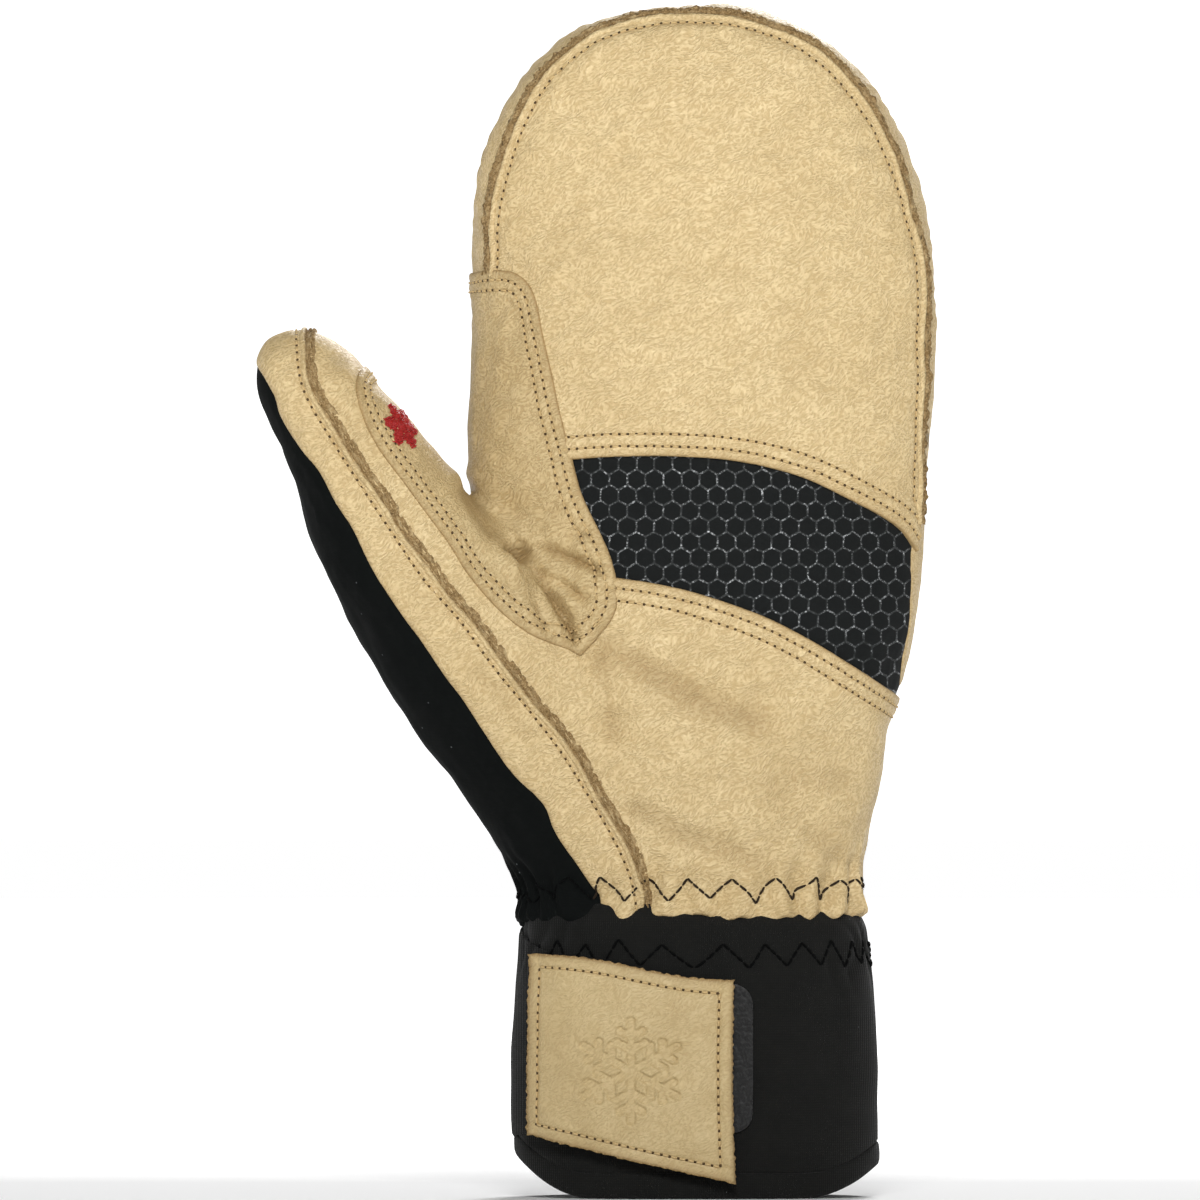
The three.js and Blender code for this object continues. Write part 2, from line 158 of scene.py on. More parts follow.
# ---------- the mitten's padded form ----------
# The hand without its thumb: at each height, its left, right, palm-side and back-side limits.
HAND = [
    [56, -20.4, 65.6, -25, 18.5], [70, -21.0, 65.8, -26, 19.5], [78, -21.6, 65.6, -26.4, 19.6],
    [87, -24, 66.4, -27, 20],
    [99, -27, 69, -28.5, 20.7], [112, -29, 71.3, -29.5, 21.3], [124, -30.5, 73.8, -30, 21.8],
    [134, -31.3, 77.6, -30.5, 22], [146, -32, 80.4, -31, 22], [160, -32.2, 81.3, -31, 22],
    [177, -32.2, 81.2, -31, 21.5],
    [200, -33.2, 83.9, -31, 20.5], [210, -33.4, 84.2, -31, 19.3], [222, -32.4, 84.2, -31, 18],
]
DOME_BASE, TIP, TIP_CURL = 222.0, 298.6, 6.0
DOME_MIDDLE, DOME_HALF = 26.1, 58.1
# The dome's outline is a squarer curve on the thumb's side than on the other.
DOME_POWERS = 2.56, 2.09

# The thumb, along its own slanted axis: t runs up it and s across it in the plane of the palm.
THUMB_UP, THUMB_ACROSS = np.array([-0.55, 0, 0.835]), np.array([0.835, 0, 0.55])
THUMB = [
    [76, 27, 66, -25, 15], [96, 26.6, 70, -30, 13], [116, 25.8, 73, -34, 10.5], [138, 25.4, 73, -38, 6],
    [160, 26.2, 70.6, -41.5, 0.5], [178, 29.8, 67.8, -44, -4.5], [190, 34, 66.4, -45.3, -8],
    [200, 37.4, 64.6, -46, -11],
]
THUMB_FOOT, THUMB_DOME, THUMB_TIP, THUMB_POWER = 76.0, 196.0, 223.6, 2.35
CROTCH_FILLET = 5.0


def rounded(across, deep, power):
    return (np.abs(across) ** power + np.abs(deep) ** power) ** (1 / power) - 1


def hand_form(p):
    x, y, z = p.T
    left, right, front, back = along(HAND, z)
    up = np.maximum(z - DOME_BASE, 0) / (TIP - DOME_BASE)
    middle = (front + back) / 2 - TIP_CURL * up**2
    across = (x - (left + right) / 2) / ((right - left) / 2)
    power = np.where(across < 0, *DOME_POWERS)
    power = 2 + (power - 2) * smoothstep(0, 0.3, up)
    edge = (np.abs(across) ** power + up**power) ** (1 / power)
    return rounded(edge, (y - middle) / ((back - front) / 2), 2.3 + 0.8 * np.minimum(up, 1))


def thumb_form(p):
    s, t = p @ THUMB_ACROSS, p @ THUMB_UP
    left, right, front, back = along(THUMB, t)
    up = np.maximum(t - THUMB_DOME, 0) / (THUMB_TIP - THUMB_DOME) + np.maximum(THUMB_FOOT - t, 0) / 25
    across = np.abs((s - (left + right) / 2) / ((right - left) / 2))
    edge = (across**THUMB_POWER + up**THUMB_POWER) ** (1 / THUMB_POWER)
    return rounded(edge, (p[:, 1] - (front + back) / 2) / ((back - front) / 2), 2.35)


def gradient(form, p, value, step=0.05):
    return np.stack([(form(p + step * axis) - value) / step for axis in np.eye(3)], 1)


def distance(form, p):
    value = form(p)
    return value / np.maximum(np.linalg.norm(gradient(form, p, value), axis=1), 1e-3)


def skin_distance(p):
    """Distance from the mitten's outer surface, positive outside, with a soft fillet where the thumb joins."""
    a, b = distance(hand_form, p), distance(thumb_form, p)
    h = np.clip(0.5 + 0.5 * (b - a) / CROTCH_FILLET, 0, 1)
    return b * (1 - h) + a * h - CROTCH_FILLET * h * (1 - h)


def surface_net(low, high, step):
    """Quads round the zero of skin_distance: one point in each crossed cell, at the middle of its crossings."""
    axes = [np.arange(a, b, step) for a, b in zip(low, high)]
    grid = np.stack(np.meshgrid(*axes, indexing="ij"), -1)
    value = skin_distance(grid.reshape(-1, 3)).reshape(grid.shape[:3])
    inside = value < 0
    corners = np.array([[i, j, k] for i in (0, 1) for j in (0, 1) for k in (0, 1)])
    size = np.array(value.shape) - 1
    views = [inside[i:i + size[0], j:j + size[1], k:k + size[2]] for i, j, k in corners]
    cells = np.argwhere(np.any(views, 0) & ~np.all(views, 0))
    held = np.stack([value[tuple((cells + c).T)] for c in corners], 1)
    total, hits = np.zeros((len(cells), 3)), np.zeros((len(cells), 1))
    for a in range(8):
        for b in range(a + 1, 8):
            if np.abs(corners[a] - corners[b]).sum() != 1:
                continue
            crossed = (held[:, a] < 0) != (held[:, b] < 0)
            share = held[:, a] / np.where(crossed, held[:, a] - held[:, b], 1)
            spot = corners[a] + share[:, None] * (corners[b] - corners[a])
            total += np.where(crossed[:, None], spot, 0)
            hits += crossed[:, None]
    points = np.array(low) + (cells + total / hits) * step
    number = np.full(tuple(size), -1)
    number[tuple(cells.T)] = np.arange(len(cells))
    quads = []
    for axis in range(3):
        u, v = (axis + 1) % 3, (axis + 2) % 3
        ahead = np.roll(inside, -1, axis)
        edges = np.argwhere(inside != ahead)
        edges = edges[(edges[:, u] > 0) & (edges[:, v] > 0) & (edges[:, axis] < size[axis])]
        edges = edges[(edges[:, u] < size[u]) & (edges[:, v] < size[v])]
        eu, ev = np.eye(3, dtype=int)[u], np.eye(3, dtype=int)[v]
        quad = np.stack([number[tuple((edges - o).T)] for o in (eu + ev, ev, 0 * eu, eu)], 1)
        outward = inside[tuple(edges.T)]
        quad[~outward] = quad[~outward][:, ::-1]
        quads.append(quad)
    return points, np.vstack(quads)


def onto_skin(p):
    """Moves points onto the surface and returns them with their normals."""
    for _ in range(3):
        value = skin_distance(p)
        slope = gradient(skin_distance, p, value)
        p = p - slope * (value / np.maximum((slope**2).sum(1), 1e-6))[:, None]
    return p, unit(gradient(skin_distance, p, skin_distance(p)))


def finer(points, quads):
    """Each quad becomes four. Also returns the edges, whose middles follow the old points."""
    edges, which = edges_of(quads)
    e = which + len(points)
    c = np.arange(len(quads)) + len(points) + len(edges)
    made = [np.stack([quads[:, i], e[:, i], c, e[:, i - 1]], 1) for i in range(4)]
    return np.vstack([points, points[edges].mean(1), points[quads].mean(1)]), np.vstack(made), edges


# ---------- triangle sheets that carry named fields ----------
SNAP = 0.06


class Sheet:
    """Triangles whose points carry columns of numbers: the place, the normal and any named fields."""

    def __init__(self, columns, triangles):
        self.columns, self.triangles = columns, triangles

    def __getitem__(self, name):
        """A column. The field -name is the other side of the field name."""
        if name not in self.columns:
            self.columns[name] = -self.columns[name[1:] if name.startswith("-") else "-" + name]
        return self.columns[name]

    def __setitem__(self, name, value):
        self.columns[name] = value

    def copy(self):
        return Sheet({k: v.copy() for k, v in self.columns.items()}, self.triangles.copy())

    def split(self, name, level):
        """Adds points where a field passes through a level. Points close to the level are put on it."""
        value = self[name]
        value[np.abs(value - level) < SNAP] = level
        side = np.sign(value - level)
        tri = self.triangles
        mixed = (side[tri].min(1) < 0) & (side[tri].max(1) > 0)
        keep, cut = tri[~mixed], tri[mixed]
        if not len(cut):
            return
        # Turn each triangle so that its first corner is alone on its side, or is the one on the level.
        s = side[cut]
        zero = s == 0
        has_zero = zero.any(1)
        alone = np.argmax(s * s.sum(1, keepdims=True) < 0, 1)
        first = np.where(has_zero, np.argmax(zero, 1), alone)
        cut = np.take_along_axis(cut, (first[:, None] + np.arange(3)) % 3, 1)
        ends = [np.sort(cut[:, pair], 1) for pair in ([0, 1], [0, 2], [1, 2])]
        need = np.concatenate([ends[0][~has_zero], ends[1][~has_zero], ends[2][has_zero]])
        edges, which = np.unique(need, axis=0, return_inverse=True)
        which = which.reshape(-1)
        a, b = edges.T
        share = (level - value[a]) / (value[b] - value[a])
        start = len(value)
        for key, column in self.columns.items():
            part = share[:, None] if column.ndim > 1 else share
            self.columns[key] = np.concatenate([column, column[a] + (column[b] - column[a]) * part])
        self.columns[name][start:] = level
        count = (~has_zero).sum()
        p, q, r = which[:count] + start, which[count:2 * count] + start, which[2 * count:] + start
        two, one = cut[~has_zero], cut[has_zero]
        corners = [
            (two[:, 0], p, q), (p, two[:, 1], two[:, 2]), (p, two[:, 2], q),
            (one[:, 0], one[:, 1], r), (one[:, 0], r, one[:, 2]),
        ]
        self.triangles = np.vstack([keep, *(np.stack(three, 1) for three in corners)])

    def keep(self, name, level):
        """Cuts the sheet along a level and returns what lies above it."""
        self.split(name, level)
        value = self[name][self.triangles]
        kept = self.triangles[(value.min(1) >= level) & (value.max(1) > level)]
        used, flat = np.unique(kept, return_inverse=True)
        return Sheet({k: v[used] for k, v in self.columns.items()}, flat.reshape(-1, 3))

    def border(self):
        """Directed edges that belong to one triangle only."""
        directed = np.stack([self.triangles, np.roll(self.triangles, -1, 1)], -1)
        which = edges_of(self.triangles)[1]
        return directed[(np.bincount(which.ravel()) == 1)[which]]

    def lines(self, name, level, least=6.0):
        """The runs of points along a level of a field, as lists of point numbers."""
        on = np.abs(self[name] - level) < 1e-6
        edges = edges_of(self.triangles)[0]
        near = {}
        for a, b in edges[on[edges].all(1)].tolist():
            near.setdefault(a, []).append(b)
            near.setdefault(b, []).append(a)
        left, runs = set(near), []
        for start in sorted(near, key=lambda v: (len(near[v]) != 1, v)):
            run, following = [], [start] if start in left else []
            while following:
                run.append(following[0])
                left.discard(following[0])
                following = [v for v in near[run[-1]] if v in left]
            if len(run) > 1 and np.linalg.norm(np.diff(self["place"][run], axis=0), axis=1).sum() > least:
                runs.append(run)
        return runs


def vertex_normals(points, triangles):
    a, b, c = (points[triangles[:, i]] for i in range(3))
    face = np.cross(b - a, c - a)
    total = np.zeros_like(points)
    for i in range(3):
        np.add.at(total, triangles[:, i], face)
    return unit(total)


# ---------- seams, drawn on the palm side in x and z ----------
BAND_TOP = spline([(-30, 181), (-19, 182.6), (-7.5, 184.2), (5, 185), (20, 185), (35, 183.7), (50, 180),
                   (62.5, 174.2),
                   (73.7, 168), (78, 163.5), (84, 155)])
BAND_BOTTOM = spline([(-12, 156), (3.7, 154.8), (20, 152), (38, 146.3), (50, 140.6), (60, 134.6), (73.7, 125.6),
                      (82, 118.5)])
BAND_SIDE = spline([(79.2, 200), (80.2, 187), (79.5, 172), (78.6, 160), (78, 144), (75, 127), (72.5, 112)])
SADDLE_INDEX = spline([(-36, 229), (-32, 231), (-27, 231.6), (-22.2, 231), (-18.6, 228.6), (-16.3, 224.3),
                       (-14.2, 215.5),
                       (-11.9, 205.2), (-9.5, 194), (-7, 184.5), (-4.2, 175), (0.6, 165), (3.1, 158.5),
                       (4.3, 152), (3.6, 145.4),
                       (-0.8, 139.6), (-5.2, 135.2)])
SADDLE_THUMB = spline([(-5.2, 135.2), (-13.5, 138.6), (-19.3, 141.8), (-26.2, 147.7), (-32.6, 155.4),
                       (-37.8, 163.7),
                       (-46.6, 175.8), (-53.7, 185.4), (-58.1, 192.6), (-60.9, 200.5), (-60.6, 205),
                       (-58, 208.5)])
SADDLE = np.vstack([SADDLE_INDEX, SADDLE_THUMB[1:], [(-50, 218), (-40, 230)]])
OUTSEAM = spline([(-72, 232), (-73.2, 222), (-73.1, 216), (-71.5, 203.2), (-65.1, 191.1), (-56.9, 178.3),
                  (-48.5, 165.6),
                  (-41.5, 155.4), (-32.6, 145.2), (-23.7, 133), (-15.5, 123), (-7.6, 112.6), (-1.5, 102.9),
                  (4.5, 92.6),
                  (8.2, 85.3), (10.5, 78.7), (11.7, 71.5), (12, 60)])
OUTER_EDGE = spline([(-92, 214), (-86.5, 209.5), (-83, 205), (-80.5, 200), (-79.3, 195.5), (-76.6, 190.3),
                     (-74, 186),
                     (-69.6, 179.6), (-66.2, 173.2), (-62.6, 167.5), (-56.8, 156.6), (-51.7, 149), (-45.3, 140),
                     (-39, 130.5), (-34.5, 124.7), (-31.8, 120.5), (-25.7, 110.8), (-21, 104.7), (-14.2, 98),
                     (-11.8, 92), (-8.2, 86), (-2.7, 77.5), (-0.3, 73.8), (0.2, 60)])
# The outseam round the fingers: a half ellipse a little inside the outline, running down both sides.
TIP_SEAM_IN = 3.3


def dome_arch(inset, steps):
    """The dome's outline, drawn in by inset, from its right foot over the tip to its left foot."""
    made = []
    for a in np.linspace(0, math.pi, steps):
        power = DOME_POWERS[0] if a > math.pi / 2 else DOME_POWERS[1]
        across = math.copysign(abs(math.cos(a)) ** (2 / power), math.cos(a))
        up = abs(math.sin(a)) ** (2 / power)
        made.append((DOME_MIDDLE + (DOME_HALF - inset) * across, DOME_BASE + (TIP - DOME_BASE - inset) * up))
    return made


TIP_SEAM = np.vstack([spline([(79.6, 176), (80.2, 190.5), (80.9, 206), (81, 218)]), dome_arch(TIP_SEAM_IN, 90),
                      spline([(-28.8, 218), (-29.2, 206), (-29.4, 190), (-29, 176)])])
# Where the saddle folds between thumb and index finger.
CROTCH_FOLD = spline([(-60, 232), (-40, 196), (-32.5, 175), (-26, 166.5), (-19.5, 160.8), (-12, 149),
                      (-5.2, 135.2), (2, 120)])


def closed(line, far):
    """The outline's own segments, and the polygon that far corners close."""
    return np.asarray(line, float), np.vstack([line, far])


def above(line):
    return closed(line, [(FAR, line[-1][1]), (FAR, FAR), (-FAR, FAR), (-FAR, line[0][1])])


def right_of(line):
    return closed(line, [(line[-1][0], -FAR), (FAR, -FAR), (FAR, FAR), (line[0][0], FAR)])


def edge_distance(outline, places, normals, chunk=20000):
    """Distance over the surface from an outline seen along y, positive inside it."""
    line, polygon = outline
    a, b = line[:-1], line[1:]
    span = b - a
    square = np.maximum((span**2).sum(1), 1e-9)
    pa, pb = polygon, np.roll(polygon, -1, 0)
    made = []
    for i in range(0, len(places), chunk):
        q = places[i:i + chunk][:, [0, 2]]
        n = normals[i:i + chunk][:, [0, 2]]
        share = np.clip(((q[:, None] - a) * span).sum(-1) / square, 0, 1)
        away = q[:, None] - (a + share[..., None] * span)
        far = np.hypot(away[..., 0], away[..., 1])
        nearest = far.argmin(1)
        rows = np.arange(len(q))
        d, way = far[rows, nearest], away[rows, nearest]
        crosses = (pa[:, 1] > q[:, None, 1]) != (pb[:, 1] > q[:, None, 1])
        rise = np.where(pb[:, 1] == pa[:, 1], 1e-9, pb[:, 1] - pa[:, 1])
        at = pa[:, 0] + (q[:, None, 1] - pa[:, 1]) * (pb[:, 0] - pa[:, 0]) / rise
        inside = (crosses & (q[:, None, 0] < at)).sum(1) % 2 == 1
        lean = (unit(way) * n).sum(1)
        made.append(np.where(inside, d, -d) / np.sqrt(np.maximum(1 - lean**2, 0.16)))
    return np.concatenate(made)


# ---------- the skin ----------
# Creases pressed into the palm side: points, depth and width.
CREASES = [
    ([(-33, 177), (-27, 167.5), (-20, 161)], 1.2, 2.0),
    ([(-22, 162), (-14, 161.6), (-7, 159.6), (-1, 156.8)], 2.3, 1.7),
    ([(-20, 161), (-13.5, 152), (-9, 145), (-6.8, 140)], 2.2, 1.6),
    ([(-19, 160.5), (-11, 154.6), (-3.5, 149.5)], 1.4, 1.2),
    ([(-15, 159.5), (-8, 156.3), (-1.5, 153)], 0.9, 0.9),
    ([(-21, 159), (-16.5, 149), (-14, 143)], 1.2, 1.3),
    ([(-17, 166.5), (-10, 164.5), (-4, 165.5)], 0.9, 1.7),
    ([(-24, 172), (-17, 170), (-11, 171.5)], 0.5, 1.8),
    ([(2, 137), (13, 131), (26, 123.5), (38, 119)], 1.3, 4.6),
    ([(6, 147), (14, 142), (26, 136)], 0.6, 2.2),
    ([(-1, 133), (2, 125), (3, 115)], 0.9, 2.8),
    ([(9, 97), (22, 90), (37, 85)], 0.8, 3.2),
    ([(30, 108), (44, 104), (60, 105)], 0.5, 4.0),
    ([(52, 92), (62, 84)], 0.6, 3.0),
    ([(-66, 198), (-62, 193.5), (-60, 189)], 0.45, 0.9),
    ([(-71, 190), (-66, 188), (-62, 183)], 0.35, 0.9),
    ([(-47, 152), (-42, 148.5)], 0.4, 0.9),
    ([(-30, 131), (-24, 125), (-19, 116)], 0.5, 2.2),
]
WRIST_GATHER, GATHER_PITCH = 77.5, 8.7
# The wrist is nearly an ellipse. Its girth is that of a circle of WRIST_RADIUS.
WRIST_MIDDLE, WRIST_HALF, WRIST_RADIUS = (22.5, -3), (43.5, 22.5), 36.5
LAP = WRIST_RADIUS * math.pi


def polyline_distance(points, places):
    line = spline(points, 6)
    q = places[:, [0, 2]]
    best = np.full(len(q), 1e9)
    for a, b in zip(line, line[1:]):
        span = b - a
        share = np.clip((q - a) @ span / max(span @ span, 1e-9), 0, 1)
        best = np.minimum(best, np.linalg.norm(q - a - share[:, None] * span, axis=1))
    return best


def around_wrist(p):
    """Distance round the wrist from the middle of the palm side, in millimetres, positive to the right."""
    across, ahead = ((p[:, i] - WRIST_MIDDLE[i]) / WRIST_HALF[i] for i in (0, 1))
    return np.arctan2(across, -ahead) * WRIST_RADIUS


def gather(p):
    """Puckers that the wrist elastic pulls into the skin."""
    u = around_wrist(p) + 1.6 * waves(p, 24, 5)
    strength = 1.15 * bell(p[:, 2] - WRIST_GATHER + 1.5, 9.0) * (0.8 + 0.35 * waves(p, 30, 6))
    return strength * np.sin(u * 2 * math.pi / GATHER_PITCH) - 1.3 * bell(p[:, 2] - WRIST_GATHER, 5.5)


def creased(p):
    """The creases' lift, with a low ridge along both sides of each."""
    lift = np.zeros(len(p))
    for points, depth, width in CREASES:
        d = polyline_distance(points, p)
        lift -= depth * (bell(d, width) - 0.4 * bell(d - 2.1 * width, width))
    return lift * smoothstep(2, -8, p[:, 1])


def relief(p):
    """How far the skin stands out of its plain form."""
    palm = smoothstep(2, -8, p[:, 1])
    lift = 0.6 * waves(p, 52, 1) + 0.2 * waves(p, 21, 2) + 0.06 * waves(p, 7, 3) + creased(p)
    seam = polyline_distance(TIP_SEAM[::3], p)
    turn = np.arctan2(p[:, 2] - DOME_BASE, p[:, 0] - DOME_MIDDLE) * DOME_HALF
    pucker = 0.2 * bell(seam - 5, 3.5) * np.sin(turn * 2 * math.pi / 5.2 + 2 * waves(p, 19,
                                                                                     7)) * smoothstep(205, 225,
                                                                                                      p[:, 2])
    return lift + gather(p) + palm * pucker + 0.8 * smoothstep(76, 69, p[:, 2])


CLOTH = {
    "quality": 6, "mass": 0.15, "tension_stiffness": 25, "compression_stiffness": 25, "bending_stiffness": 0.15,
    "use_pressure": True, "uniform_pressure_force": 5, "shrink_min": -0.025, "vertex_group_mass": "held",
}
SIM_FRAMES, SWELL_CAP, SWELL_SOFT, SINK_CAP = 18, 1.9, 5.0, 0.25


def swollen(points, quads, held):
    """How far a pressed cloth moves out from the form between its held seams, by simulation, in millimetres."""
    mesh = bpy.data.meshes.new("pressed")
    mesh.from_pydata((points * MM).tolist(), [], quads.tolist())
    cloth = bpy.data.objects.new("pressed", mesh)
    bpy.context.scene.collection.objects.link(cloth)
    group = cloth.vertex_groups.new(name="held")
    for i in np.flatnonzero(held).tolist():
        group.add([i], 1.0, "REPLACE")
    modifier = cloth.modifiers.new("cloth", "CLOTH")
    for key, value in CLOTH.items():
        setattr(modifier.settings, key, value)
    modifier.settings.effector_weights.gravity = 0
    modifier.collision_settings.use_collision = False
    for moment in range(1, SIM_FRAMES + 1):
        bpy.context.scene.frame_set(moment)
    graph = bpy.context.evaluated_depsgraph_get()
    moved = np.empty(len(points) * 3, np.float32)
    cloth.evaluated_get(graph).data.vertices.foreach_get("co", moved)
    bpy.context.scene.frame_set(1)
    bpy.data.objects.remove(cloth)
    return moved.reshape(-1, 3) / MM - points


NET_STEP = 2.0
LOW, HIGH = (-92, -56, 62), (92, 34, 304)
# The elastic holds the cloth up to this height.
HELD_BELOW = 84
# Creases this deep get the full painted shade in the leather's colour.
DIP_DEEP = 1.6


def raised(points, quads, swell=0.0):
    """A sheet of the padded form with its relief and swell."""
    points, normals = onto_skin(points)
    triangles = np.vstack([quads[:, [0, 1, 2]], quads[:, [0, 2, 3]]])
    place = points + normals * (relief(points) + swell)[:, None]
    sheet = Sheet({"drawn": points, "drawn_normal": normals, "place": place}, triangles)
    sheet["normal"] = vertex_normals(place, triangles)
    sheet["fold"] = edge_distance(right_of(CROTCH_FOLD), points, normals)
    return sheet


def make_skin():
    coarse, quads = surface_net(LOW, HIGH, NET_STEP)
    coarse, normals = onto_skin(coarse)
    swell = np.zeros(len(coarse))
    held = coarse[:, 2] < HELD_BELOW
    for outline in (TIP_SEAM, OUTSEAM, SADDLE, OUTER_EDGE, BAND_TOP, BAND_BOTTOM):
        near = np.abs(edge_distance(closed(outline, outline[-1:]), coarse, normals)) < NET_STEP
        held |= near & (coarse[:, 1] < 0)
    moved = (swollen(coarse, quads, held) * normals).sum(1)
    swell = SWELL_CAP * np.tanh(moved / SWELL_SOFT) * smoothstep(0.15, 0.6, np.abs(normals[:, 1]))
    # Where the cloth pulls inwards it rests on the insulation.
    swell = np.maximum(swell, -SINK_CAP)
    points, faces, edges = finer(coarse, quads)
    sheet = raised(points, faces, np.concatenate([swell, swell[edges].mean(1), swell[quads].mean(1)]))
    # How deep each point lies in a crease, from 0 to 1: the leather paints shade into the creases by it.
    sheet["dip"] = np.clip(-creased(sheet["drawn"]) / DIP_DEEP, 0, 1)
    return sheet


SKIN = make_skin()
p, n = SKIN["drawn"], SKIN["drawn_normal"]
for name, outline in {
    "band_top": above(BAND_TOP),
    "band_bottom": above(BAND_BOTTOM),
    "band_side": right_of(BAND_SIDE),
    "saddle": closed(SADDLE, [(-FAR, 240), (-FAR, 229)]),
    "outseam": right_of(OUTSEAM),
    "outer": right_of(OUTER_EDGE),
    "tip": closed(TIP_SEAM, [(-29, 100), (79.6, 100)]),
}.items():
    SKIN[name] = edge_distance(outline, p, n)
SKIN["thumbness"] = distance(hand_form, p) - distance(thumb_form, p)


# ---------- pieces ----------
# Two distances for each bending line, before and after it, at which bend() finds its points.
BEND_REACH = {"finger_flex": (15.0, 22.0), "thumb_flex": (2.0, 22.0)}


def bend(joint_name):
    """The two bodies of a hinge and two points before and after its bending line."""
    joint = next(j for j in frame["joints"] if j["name"] == joint_name)
    pivot, axis = Vector(joint["pos_m"]), Vector(joint["axis"]).normalized()
    up = Vector((-axis.z, 0, axis.x))
    before, after = BEND_REACH[joint_name]
    return joint["parent"], joint["child"], pivot - up * before * MM, pivot + up * after * MM


def belongs(piece, mover, slot, *nodes):
    """mover is a body that the piece rides on, or a hinge, across which the piece is only baked in place."""
    if mover in BEND_REACH:
        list(bend(mover))
        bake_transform(piece)
    else:
        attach(piece, mover)
    if nodes:
        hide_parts(*nodes)
    return piece


def mesh_piece(name, points, faces, material, fields=None, drawn=None, crease=50):
    mesh = bpy.data.meshes.new(name)
    mesh.from_pydata(place(points).tolist(), [], faces if isinstance(faces, list) else faces.tolist())
    rest = mesh.attributes.new("drawn", "FLOAT_VECTOR", "POINT")
    rest.data.foreach_set("vector", np.asarray(points if drawn is None else drawn, np.float32).ravel())
    for field, value in (fields or {}).items():
        made = mesh.attributes.new(field, "FLOAT", "POINT")
        made.data.foreach_set("value", np.asarray(value, np.float32))
    mesh.shade_smooth()
    if crease:
        mesh.set_sharp_from_angle(angle=math.radians(crease))
    mesh.materials.append(material)
    piece = bpy.data.objects.new(name, mesh)
    bpy.context.scene.collection.objects.link(piece)
    return piece


def cut(source, *limits):
    """The part of a sheet where every named field is at least its limit."""
    sheet = source.copy()
    for name, limit in limits:
        sheet = sheet.keep(name, limit)
    return sheet


def refined(sheet):
    """Each triangle becomes four."""
    t = sheet.triangles
    edges, which = edges_of(t)
    e = which + len(sheet["place"])
    columns = {k: np.concatenate([v, v[edges].mean(1)]) for k, v in sheet.columns.items()}
    columns["normal"] = unit(columns["normal"])
    corners = [np.stack([t[:, i], e[:, i], e[:, i - 1]], 1) for i in range(3)]
    return Sheet(columns, np.vstack([*corners, e]))


LAP_RISE, LAP_REACH = 0.95, 8.0
ROW_DEPTH, ROW_WIDTH = 0.32, 0.55
LEATHER = 1.1
FAR_FROM_EDGE = 20.0


def rolled(d, drop, radius):
    """A turned edge: it falls by drop, along a quarter circle, over the last radius before the border."""
    return -drop * (1 - np.sqrt(np.maximum(1 - (1 - np.clip(d / radius, 0, 1)) ** 2, 0)))


def panel(name, sheet, material, base=0.0, laps=(), rolls=(), rows=(), thickness=LEATHER):
    """A sewn panel with thickness. It stands proud at its lapped edges, turns in at its rolled ones and dips along
    its rows of stitching. The sheet gets finer along them, and its outer face as a column."""
    splits = [(field, level) for field in laps for level in (0.3, 0.8, 1.4)]
    splits += [(field, level) for field, *_ in rolls for level in (0.3, 0.8, 1.6)]
    splits += [(field, level) for field, at in rows for level in (at - 0.5, at, at + 0.5)]
    for field, level in splits:
        sheet.split(field, level)
    height = np.full(len(sheet["place"]), float(base))
    edge = np.full(len(height), FAR_FROM_EDGE)
    for field in laps:
        d = sheet[field]
        height += LAP_RISE * (1 - 0.7 * smoothstep(3, LAP_REACH, d)) + rolled(d, 0.4, 0.8)
        edge = np.minimum(edge, d)
    for field, drop, radius in rolls:
        height += rolled(sheet[field], drop, radius)
        edge = np.minimum(edge, sheet[field] + 0.5)
    for field, at in rows:
        height -= ROW_DEPTH * bell(sheet[field] - at, ROW_WIDTH)
    sheet["normal"] = unit(sheet["normal"])
    sheet["outer"] = sheet["place"] + sheet["normal"] * height[:, None]
    inner = sheet["place"] + sheet["normal"] * (height - thickness)[:, None]
    n = len(inner)
    a, b = sheet.border().T
    walls = np.vstack([np.stack([b, a, a + n], 1), np.stack([b, a + n, b + n], 1)])
    faces = np.vstack([sheet.triangles, sheet.triangles[:, ::-1] + n, walls])
    fields = {"edge": np.concatenate([edge, np.zeros(n)])}
    if "dip" in sheet.columns:
        fields["dip"] = np.tile(sheet["dip"], 2)
    return mesh_piece(name, np.vstack([sheet["outer"], inner]), faces, material, fields,
                      np.tile(sheet["drawn"], (2, 1)))


def resample(points, normals, pitch, offset=0.0):
    """Places at an even pitch along a run of points, with their normals and directions."""
    steps = np.linalg.norm(np.diff(points, axis=0), axis=1)
    at = np.concatenate([[0], np.cumsum(steps)])
    stops = np.arange(offset, at[-1], pitch)
    pick = lambda values: np.stack([np.interp(stops, at, values[:, i]) for i in range(3)], 1)
    where = pick(points)
    ahead = np.gradient(where, axis=0) if len(where) > 1 else np.array([[1.0, 0, 0]])
    return where, unit(pick(normals)), unit(ahead)


def softened(points, times=4):
    for _ in range(times):
        points = np.vstack([points[:1], (points[:-2] + 2 * points[1:-1] + points[2:]) / 4, points[-1:]])
    return points


def outer_run(sheet, run):
    return softened(sheet["outer"][run]), sheet["normal"][run]


def runs_of(sheet, name, level):
    """The runs of a sheet's outer face along a level of a field."""
    return [outer_run(sheet, run) for run in sheet.lines(name, level)]


def tubes(paths, radius, sides=6):
    """Points and faces of round threads along short paths: each is places, normals and shares of the radius."""
    points, faces = [], []
    for where, up, width in paths:
        ahead = unit(np.gradient(where, axis=0))
        beside = unit(np.cross(ahead, up))
        above = np.cross(beside, ahead)
        start = sum(map(len, points))
        for p, b, u, w in zip(where, beside, above, width):
            for k in range(sides):
                a = 2 * math.pi * k / sides
                points.append([p + radius * w * (math.cos(a) * b + math.sin(a) * u)])
        faces += tube_faces(len(where), sides, start) + tube_ends(len(where), sides, start)
    return np.vstack(points), faces


